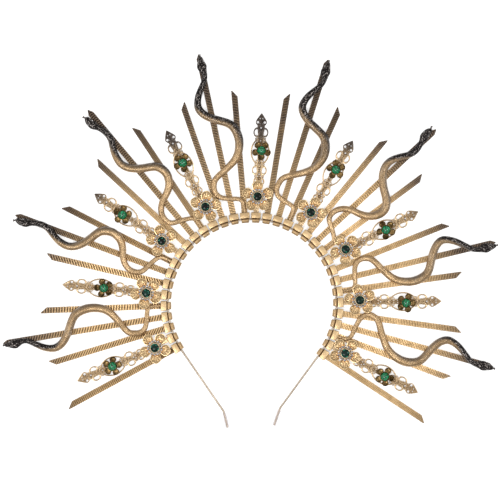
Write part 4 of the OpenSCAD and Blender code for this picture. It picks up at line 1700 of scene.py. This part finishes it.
@dataclass
class Filigree:
    """The nine pierced bands behind the flowers, with their cup flowers."""

    layout: Layout
    thick: float = 1.2
    wire_w: float = 0.8
    rail_half: float = 0.34
    wire_dirt: float = 0.36
    base_w: float = 4.1
    fuller: float = 0.3
    jog_out: float = 80.0
    relief_in: float = 89.0
    relief_out: float = 135.4
    link: float = 2.9
    braid_steps: int = 6
    seed_r: float = 0.36
    loop_stretch: float = 1.38
    oval_out: float = 116.3
    oval_w: float = 6.7
    oval_l: float = 11.0
    bud_out: float = 136.2
    bud_tip: float = 145.4
    bud_w: float = 4.2
    cup_r: float = 2.3
    cup_h: float = 1.7
    cup_reach: float = 5.0
    cup_z: float = 2.1
    seat_r: float = 3.4
    claw_count: int = 10

    # Half width of the spine at each place outward
    spine: tuple[Point2, ...] = (
        (88.2, 2.0), (91.5, 1.7), (96.8, 2.1), (99.8, 1.7), (102.0, 1.6), (105.4, 2.1),
        (109.5, 1.6), (115.5, 1.5), (121.5, 1.7), (126.5, 2.4), (129.0, 1.8), (134.7, 2.5),
        (137.3, 2.0),
    )
    # Side loops: place across and outward, outer radius
    loops: tuple[Row, ...] = ((2.3, 94.0, 1.9), (3.1, 102.2, 2.5), (3.0, 130.7, 2.6))
    # Small scrolls between the loops: places outward
    curls: Row = (97.8, 106.6, 125.9)
    # Holes in the spine: place outward, radius
    holes: tuple[Point2, ...] = ((99.4, 0.5), (124.2, 0.6), (134.2, 0.6))
    # Holes in one side of the bud: place across, outward from its middle, radius
    bud_holes: tuple[Row, ...] = ((2.6, 2.1, 0.9), (1.05, 0.9, 0.45), (0.95, 4.9, 0.42))

    # Cap, cabochon across and outward, cup's turn, band across at its foot and tip, slide
    rows: tuple[tuple[int, float, float, float, float, float, float], ...] = (
        (1, -2.1, 114.8, 45, -2.2, -2, -1.7), (5, 0.4, 111.9, 20, 0.6, -0.2, -2),
        (9, -0.6, 117.9, 25, 0.2, 0.4, -0.9), (13, 0.3, 117.9, 41, 0.6, 0.1, 0),
        (17, 2, 115.1, 55, 1, 1, -2), (21, 1.3, 118.6, 52, 1.2, 0.8, -1.3),
        (25, 1.7, 114.7, 40, 0.1, 1.7, -2.6), (29, 1.1, 115.6, 15, -0.2, 0.2, -3),
        (33, 1.4, 113.5, 33, 0.7, 0.4, -3.9),
    )

    @property
    def top(self) -> float:
        """Height of a band's front."""
        return self.layout.strip_z + self.thick

    def along(self, step: float, steps: int) -> float:
        """Place outward of a step along the relief."""
        return self.relief_in + (self.relief_out - self.relief_in) * step / steps

    def near_hole(self, y: float, reach: float) -> bool:
        """Whether one of the spine's holes lies within reach of a place outward."""
        return any(abs(y - hole) <= reach for hole, _ in self.holes)

    def spine_plate(self, links: int) -> Mesh:
        """The pierced ground of the spine.

        Args:
            links: Links of the braid on it, between which it is pierced.

        Returns:
            The spine.
        """
        rail = [(w + self.fuller, y) for y, w in self.spine]
        pierced = [(0, y, r) for y, r in self.holes]
        for k in range(1, links):
            y = self.along(k, links)
            r = (between(y, self.spine) - 0.7) / 2
            if r > 0.36 and not self.near_hole(y, 1.3):
                pierced += [(side * (0.3 + r), y, min(r, 0.6)) for side in (-1, 1)]
        ground = plate(rail + [(-x, y) for x, y in reversed(rail)], pierced,
                       self.layout.strip_z + 0.04, self.top - 0.38)
        return part(paint(ground, Mark.GROOVE, 0.85), "spine")

    def border(self, side: int) -> list[Mesh]:
        """The loops, the rail, half of the oval and the scrolls on one side.

        Args:
            side: -1 or 1.

        Returns:
            The parts.
        """
        parts: list[Mesh] = []
        mid = self.layout.strip_z + self.thick / 2
        for x, y, r in self.loops:
            ring = wire_ring(r - self.wire_w / 2, self.wire_w / 2 + 0.1, self.thick / 2, 22)
            bmesh.ops.scale(ring, vec=(1, self.loop_stretch, 1), verts=ring.verts)
            bmesh.ops.translate(ring, vec=(side * x, y, mid), verts=ring.verts)
            # Painted shade on the loop's flanks, over an evenly darker tone.
            parts.append(part(shade_flanks(ring, top=self.wire_dirt), "side_loop"))
        edge = smooth_rows([(side * (w + self.fuller - 0.32), y, self.top - 0.25)
                            for y, w in self.spine], 3)
        parts.append(wire("rail", edge, self.rail_half, self.rail_half))
        off = (self.oval_l ** 2 - self.oval_w ** 2) / (2 * self.oval_w)
        radius = self.oval_w + off
        half = math.asin(self.oval_l / radius)
        arc = [(side * (radius * math.cos(half * t) - off),
                self.oval_out + radius * math.sin(half * t), mid)
               for t in (k / 9 - 1 for k in range(19))]
        parts.append(wire("oval", arc, self.wire_w / 2 + 0.12, self.thick / 2, 8,
                          top=self.wire_dirt))
        for end in (-1, 1):
            parts.append(self.curl(side * 2.3, self.oval_out + end * 7.2, 1.25, side * end,
                                   self.top - 0.3))
        for y in self.curls:
            x = between(y, self.spine) + self.fuller + 0.62
            parts.append(self.curl(side * x, y, 0.95, side, mid + 0.1))
        return parts

    @staticmethod
    def curl(x: float, y: float, radius: float, side: int, z: float) -> Mesh:
        """A small scroll of wire.

        Args:
            x: Place of its centre across.
            y: Place of its centre outward.
            radius: Radius of its outermost turn.
            side: Side towards which it opens.
            z: Height of its middle.

        Returns:
            The scroll.
        """
        points = []
        for t in (k / 14 for k in range(15)):
            a, r = math.tau * 1.2 * t + math.pi, radius * (1 - 0.7 * t)
            points.append((x + side * r * math.cos(a), y + r * math.sin(a), z))
        return wire("curl", points, 0.34, 0.4)

    def braid(self, side: int, links: int) -> Mesh:
        """One of the two strands that cross along the spine.

        Args:
            side: Side on which it starts.
            links: Times that the strands cross.

        Returns:
            The strand.
        """
        points = []
        for k in range(links * self.braid_steps + 1):
            y, a = self.along(k, links * self.braid_steps), math.pi * k / self.braid_steps
            width = 0.8 * between(y, self.spine) + 0.1
            points.append((side * width * math.sin(a), y,
                           self.top - 0.22 + 0.08 * side * math.cos(a)))
        return wire("braid", points, 0.27, 0.3)

    def bud(self) -> list[Mesh]:
        """The pointed bud at the band's end.

        Returns:
            Its parts.
        """
        y, w, top = self.bud_out, self.bud_w, self.top
        half = [(2.1, y - 0.9), (w, y + 1.6), (w - 0.5, y + 3.6), (w - 2, y + 6),
                (0.0, self.bud_tip)]
        pierced = [(side * x, y + out, r) for side in (-1, 1) for x, out, r in self.bud_holes]
        ground = plate(half + [(-x, v) for x, v in reversed(half[:-1])], pierced,
                       self.layout.strip_z, top - 0.3)
        parts = [part(paint(ground, Mark.GROOVE, 0.8), "bud")]
        for side in (-1, 1):
            rim = [(side * (x - 0.3), v, top - 0.25) for x, v in half[:-1]]
            rim.append((0.0, self.bud_tip - 0.5, top - 0.25))
            parts.append(wire("bud_rim", smooth_rows(rim, 4), 0.36, 0.34))
            for k in range(3):
                vein = [(side * 0.1, y + 1.2 + 1.6 * k, top - 0.25),
                        (side * (1.4 - 0.35 * k), y + 3 + 1.5 * k, top - 0.28)]
                parts.append(wire("vein", vein, 0.22, 0.26))
        midrib = [(0, y - 0.4, top - 0.2), (0, y + 3.5, top - 0.15), (0, y + 7.6, top - 0.25)]
        return parts + [wire("midrib", midrib, 0.28, 0.36, shading_and_dirt=0.0)]

    def band(self) -> list[Mesh]:
        """The pierced band with its relief.

        Returns:
            Its parts.
        """
        links = round((self.relief_out - self.relief_in) / self.link)
        seed = part(bead(self.seed_r, 0.8), "seed")
        seeds = [y for y in (self.along(k + 0.5, links) for k in range(links))
                 if not self.near_hole(y, 0.9)]
        return [self.spine_plate(links), *self.border(-1), *self.border(1),
                self.braid(-1, links), self.braid(1, links),
                *(moved(seed, 0, y, self.top - 0.3) for y in seeds), *self.bud()]

    def cup_petal(self) -> Mesh:
        """One petal of the cup flower.

        Returns:
            The petal.
        """
        r, h = self.cup_r, self.cup_h
        shape = lathe([(0, 0), (0.6 * r, 0.1 * h), (0.9 * r, 0.45 * h), (r, h),
                       (r - 0.18, h + 0.16), (r - 0.42, h + 0.02), (0.7 * r, 0.52 * h),
                       (0.4 * r, 0.38 * h), (0, 0.35 * h)], 24)
        lit = Mark.LIT.on(shape)
        for vert in shape.verts:
            x, y, z = vert.co
            vert.co.z += 0.14 * swell(0, 0.35, x) if z > 0.34 * h else 0
            # Painted highlight on the rim.
            vert[lit] = 0.5 * ease(0.82 * r, 0.98 * r, math.hypot(x, y))
            vert.co.x *= 1.12
        return part(shape, "cup_petal")

    def cup_seat(self) -> list[Mesh]:
        """The ring setting in the cup flower, its floor and its claws.

        Returns:
            The parts.
        """
        seat = self.seat_r
        ring = lathe([(seat, 0.2), (seat + 0.5, 0), (seat + 0.5, 1.8), (seat + 0.38, 2.16),
                      (seat + 0.12, 2.2), (seat, 2.0), (seat, 0.2)], 40)
        floor = lathe([(0, 0), (seat + 0.2, 0), (seat + 0.2, 0.7), (0, 0.7)], 32)
        claw = part(bead(0.34, 1.2), "cup_claw")
        return [part(ring, "cup_ring"), part(floor, "cup_floor")] + [
            moved(claw, (seat + 0.2) * math.cos(a), (seat + 0.2) * math.sin(a), 2.1)
            for a in (math.tau * j / self.claw_count for j in range(self.claw_count))]

    def build(self) -> None:
        """Builds every band as a piece of its own."""
        lay, band, petal, seat = self.layout, self.band(), self.cup_petal(), self.cup_seat()
        for number, (cap, x, y, turn, foot, tip, slide) in enumerate(self.rows, 1):
            piece = Piece(f"pierced_spray_{number}")
            place = lay.at_cap(cap)
            lean = math.asin((foot - tip) / (self.bud_tip + slide - self.jog_out))
            on_band = place @ shift(foot, self.jog_out) @ turned(lean) @ shift(0, -self.jog_out)
            for at, start, end in ((place, lay.strip_in, self.jog_out + 2),
                                   (on_band, self.jog_out - 2, self.relief_in + slide)):
                strip = Strip(lay, self.base_w, Weave.FINE, 0, start, end)
                piece.add(strip.build(), at @ lay.strip_lift, 0)
            for mesh in band:
                piece.add(mesh, on_band @ shift(0, slide), 0)
            piece.age(lay.band_patina)
            cup = place @ shift(x, y, self.cup_z)
            for j in range(5):
                piece.add(petal, cup @ turned(math.radians(turn - 90 + 72 * j))
                          @ shift(0, self.cup_reach), 1)
            for mesh in seat:
                piece.add(mesh, cup, 1)
            piece.set_down([Look.FILIGREE, Look.CUP], Slot.FILIGREE, f"filigree_{number}")


@dataclass
class Stones:
    """The cut centre stones, the crystals round them and the cabochons."""

    layout: Layout
    flowers: Flowers
    sprays: Filigree
    seat_z: float = 4.6
    pavilion_z: float = 5.5
    girdle_z: float = 6.5
    girdle_t: float = 0.18
    crown_z: float = 7.25
    table_z: float = 7.6
    cabochon_r: float = 3.25
    cabochon_z: float = 3.0

    @staticmethod
    def cut(rings: Sequence[tuple[int, float, float, float]], name: str, seed: float) -> Mesh:
        """A cut stone whose facets join rings of corners.

        Args:
            rings: Corners, radius, height and turn in corners of each ring.
            name: Name of the mesh.
            seed: Where the row of painted sparkle shades of its facets starts.

        Returns:
            The stone.
        """
        shape = new_shape()
        for corners, radius, height, turn in rings:
            bmesh.ops.create_circle(shape, cap_ends=False, segments=corners, radius=radius,
                                    matrix=shift(0, 0, height) @ turned(turn * math.tau / corners))
        bmesh.ops.convex_hull(shape, input=list(shape.verts), use_existing_faces=False)
        loose = [e for e in shape.edges if not e.link_faces]
        bmesh.ops.delete(shape, geom=loose, context="EDGES")
        bmesh.ops.dissolve_limit(shape, angle_limit=math.radians(1), verts=list(shape.verts),
                                 edges=list(shape.edges))
        facet = shape.faces.layers.float[FACET]
        # Each facet gets a shade of painted sparkle.
        for i, face in enumerate(shape.faces):
            face[facet] = (seed + i * 0.618034) % 1
        return part(shape, name, flat=0)

    def centre_stone(self, number: int) -> Mesh:
        """A round stone with a table.

        Args:
            number: Its number, by which its facet shades differ.

        Returns:
            The stone.
        """
        r, girdle = self.flowers.stone_r, self.girdle_z
        return self.cut([(8, 0.5, self.seat_z, 0), (8, 0.62 * r, self.pavilion_z, 0.5),
                         (16, r, girdle, 0), (16, r, girdle + self.girdle_t, 0),
                         (8, 0.82 * r, self.crown_z, 0.5), (8, 0.58 * r, self.table_z, 0)],
                        "centre_stone", 0.13 * number)

    def crystal(self, seed: float) -> Mesh:
        """A small stone.

        Args:
            seed: Where the row of its facet shades starts.

        Returns:
            The stone.
        """
        r, top = self.flowers.crystal_r, self.flowers.collar_top
        return self.cut([(8, r, top - 0.5, 0), (8, r + 0.04, top, 0), (6, 0.44, top + 0.3, 0.3)],
                        "crystal", seed)

    def build(self) -> None:
        """Builds the three kinds of stones, each kind as one piece."""
        flowers, r = self.flowers, self.cabochon_r
        centres, crystals = Piece("cut_centre_stones"), Piece("crystal_settings")
        domes = Piece("green_cabochons")
        small = [self.crystal(seed) for seed in (0.05, 0.37, 0.71)]
        for number, row in enumerate(flowers.rows):
            place = flowers.at_flower(row)
            centres.add(self.centre_stone(number), place @ turned(0.4 * number))
            for j in range(flowers.crystal_count):
                crystals.add(small[(j + number) % 3],
                             place @ turned(math.tau * j / flowers.crystal_count)
                             @ shift(flowers.crystal_reach, 0) @ turned(0.9 * j))
        dome = part(lathe([(0, 0), (r - 0.25, 0), (r - 0.08, 0.25)]
                          + [(r * math.cos(a), 0.6 + r * math.sin(a))
                             for a in (math.radians(9 * k) for k in range(11))], 36), "cabochon")
        for row in self.sprays.rows:
            domes.add(dome, self.layout.at_cap(row[0]) @ shift(row[1], row[2], self.cabochon_z))
        centres.set_down([Look.EMERALD], Slot.EMERALD, "centre_stones")
        crystals.set_down([Look.CRYSTAL], Slot.CRYSTAL, "crystal_rings")
        domes.set_down([Look.MALACHITE], Slot.MALACHITE, "cabochons")


@dataclass
class Headband:
    """The wire and its two sleeves, whose CAD shapes are kept."""

    looks: tuple[tuple[str, Look], ...] = (
        ("headband", Look.WIRE), ("headband_tip_left", Look.SLEEVE),
        ("headband_tip_right", Look.SLEEVE))

    def dress(self) -> None:
        """Gives the CAD nodes their materials."""
        for name, look in self.looks:
            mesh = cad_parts[name].data
            mesh.materials.clear()
            mesh.materials.append(look.material())
            LOG.info("%s: dressed with %s", name, look.value.name)


@dataclass
class Studio:
    """Pale floor, soft lights and the camera straight above the crown."""

    middle: Point2 = (-0.36, -6.3)
    view_mm: float = 375.0
    height: float = 1.7
    front: float = 0.004
    sensor: float = 36.0
    floor_size: float = 3.0

    # Soft lights: name, place in metres, size in metres, watts
    lamps: tuple[tuple[str, Row, float, float], ...] = (
        ("key", (-0.5, -0.7, 1.9), 0.75, 12.0), ("fill", (1.1, 0.2, 1.5), 0.6, 6.0),
        ("low", (-1.3, 0.4, 1.0), 1.0, 4.0))

    @staticmethod
    def put(name: str, data: object) -> Object:
        """Puts a mesh, lamp or camera into the scene.

        Args:
            name: Name of the object.
            data: What it holds.

        Returns:
            The object.
        """
        obj = bpy.data.objects.new(name, data)
        bpy.context.scene.collection.objects.link(obj)
        return obj

    def floor(self) -> None:
        """A wide pale floor just under the crown."""
        shape = bmesh.new()
        bmesh.ops.create_grid(shape, x_segments=1, y_segments=1, size=self.floor_size,
                              matrix=shift(0, 0, -0.00005))
        mesh = bpy.data.meshes.new("floor")
        shape.to_mesh(mesh)
        shape.free()
        mesh.materials.append(Look.FLOOR.material())
        obj = self.put("floor", mesh)

    def lights(self) -> None:
        """A soft surround and three large soft lights."""
        world = bpy.data.worlds.new("soft_surround")
        bpy.context.scene.world = world
        world.use_nodes = True
        sheet = Sheet(world.node_tree)
        up = sheet.add("SeparateXYZ", {0: sheet.add("TexCoord")["Generated"]})[2]
        tone = sheet.mix(up.step(0.05, 0.9), (0.36, 0.34, 0.32, 1), (1.0, 1.0, 1.0, 1))
        sheet.add("OutputWorld", {
            "Surface": sheet.add("Background", {"Color": tone, "Strength": 0.86})})
        for name, spot, size, power in self.lamps:
            lamp = bpy.data.lights.new(name, "AREA")
            lamp.shape, lamp.size, lamp.energy = "DISK", size, power
            obj = self.put(name, lamp)
            obj.location = spot
            obj.rotation_euler = (-Vector(spot)).to_track_quat("-Z", "Y").to_euler()

    def camera(self) -> None:
        """A long lens that looks straight down, framed as the photograph is."""
        data = bpy.data.cameras.new("camera")
        data.sensor_width = self.sensor
        data.lens = self.sensor * (self.height - self.front) / (self.view_mm * MM)
        data.clip_end = 20
        obj = self.put("camera", data)
        obj.location = (self.middle[0] * MM, self.middle[1] * MM, self.height)
        bpy.context.scene.camera = obj

    def build(self) -> None:
        """Builds the floor, the lights and the camera."""
        self.floor()
        self.lights()
        self.camera()
        bpy.context.scene.view_settings.view_transform = "Standard"


def main() -> None:
    """Builds the crown piece by piece."""
    logging.basicConfig(level=logging.INFO, format="%(message)s")
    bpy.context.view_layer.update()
    layout = Layout()
    flowers, sprays = Flowers(layout), Filigree(layout)
    Headband().dress()
    for assembly in (EndCaps(layout), RayStrips(layout), Snakes(layout), flowers, sprays,
                     Stones(layout, flowers, sprays), Studio()):
        assembly.build()


if __name__ == "__main__":
    main()
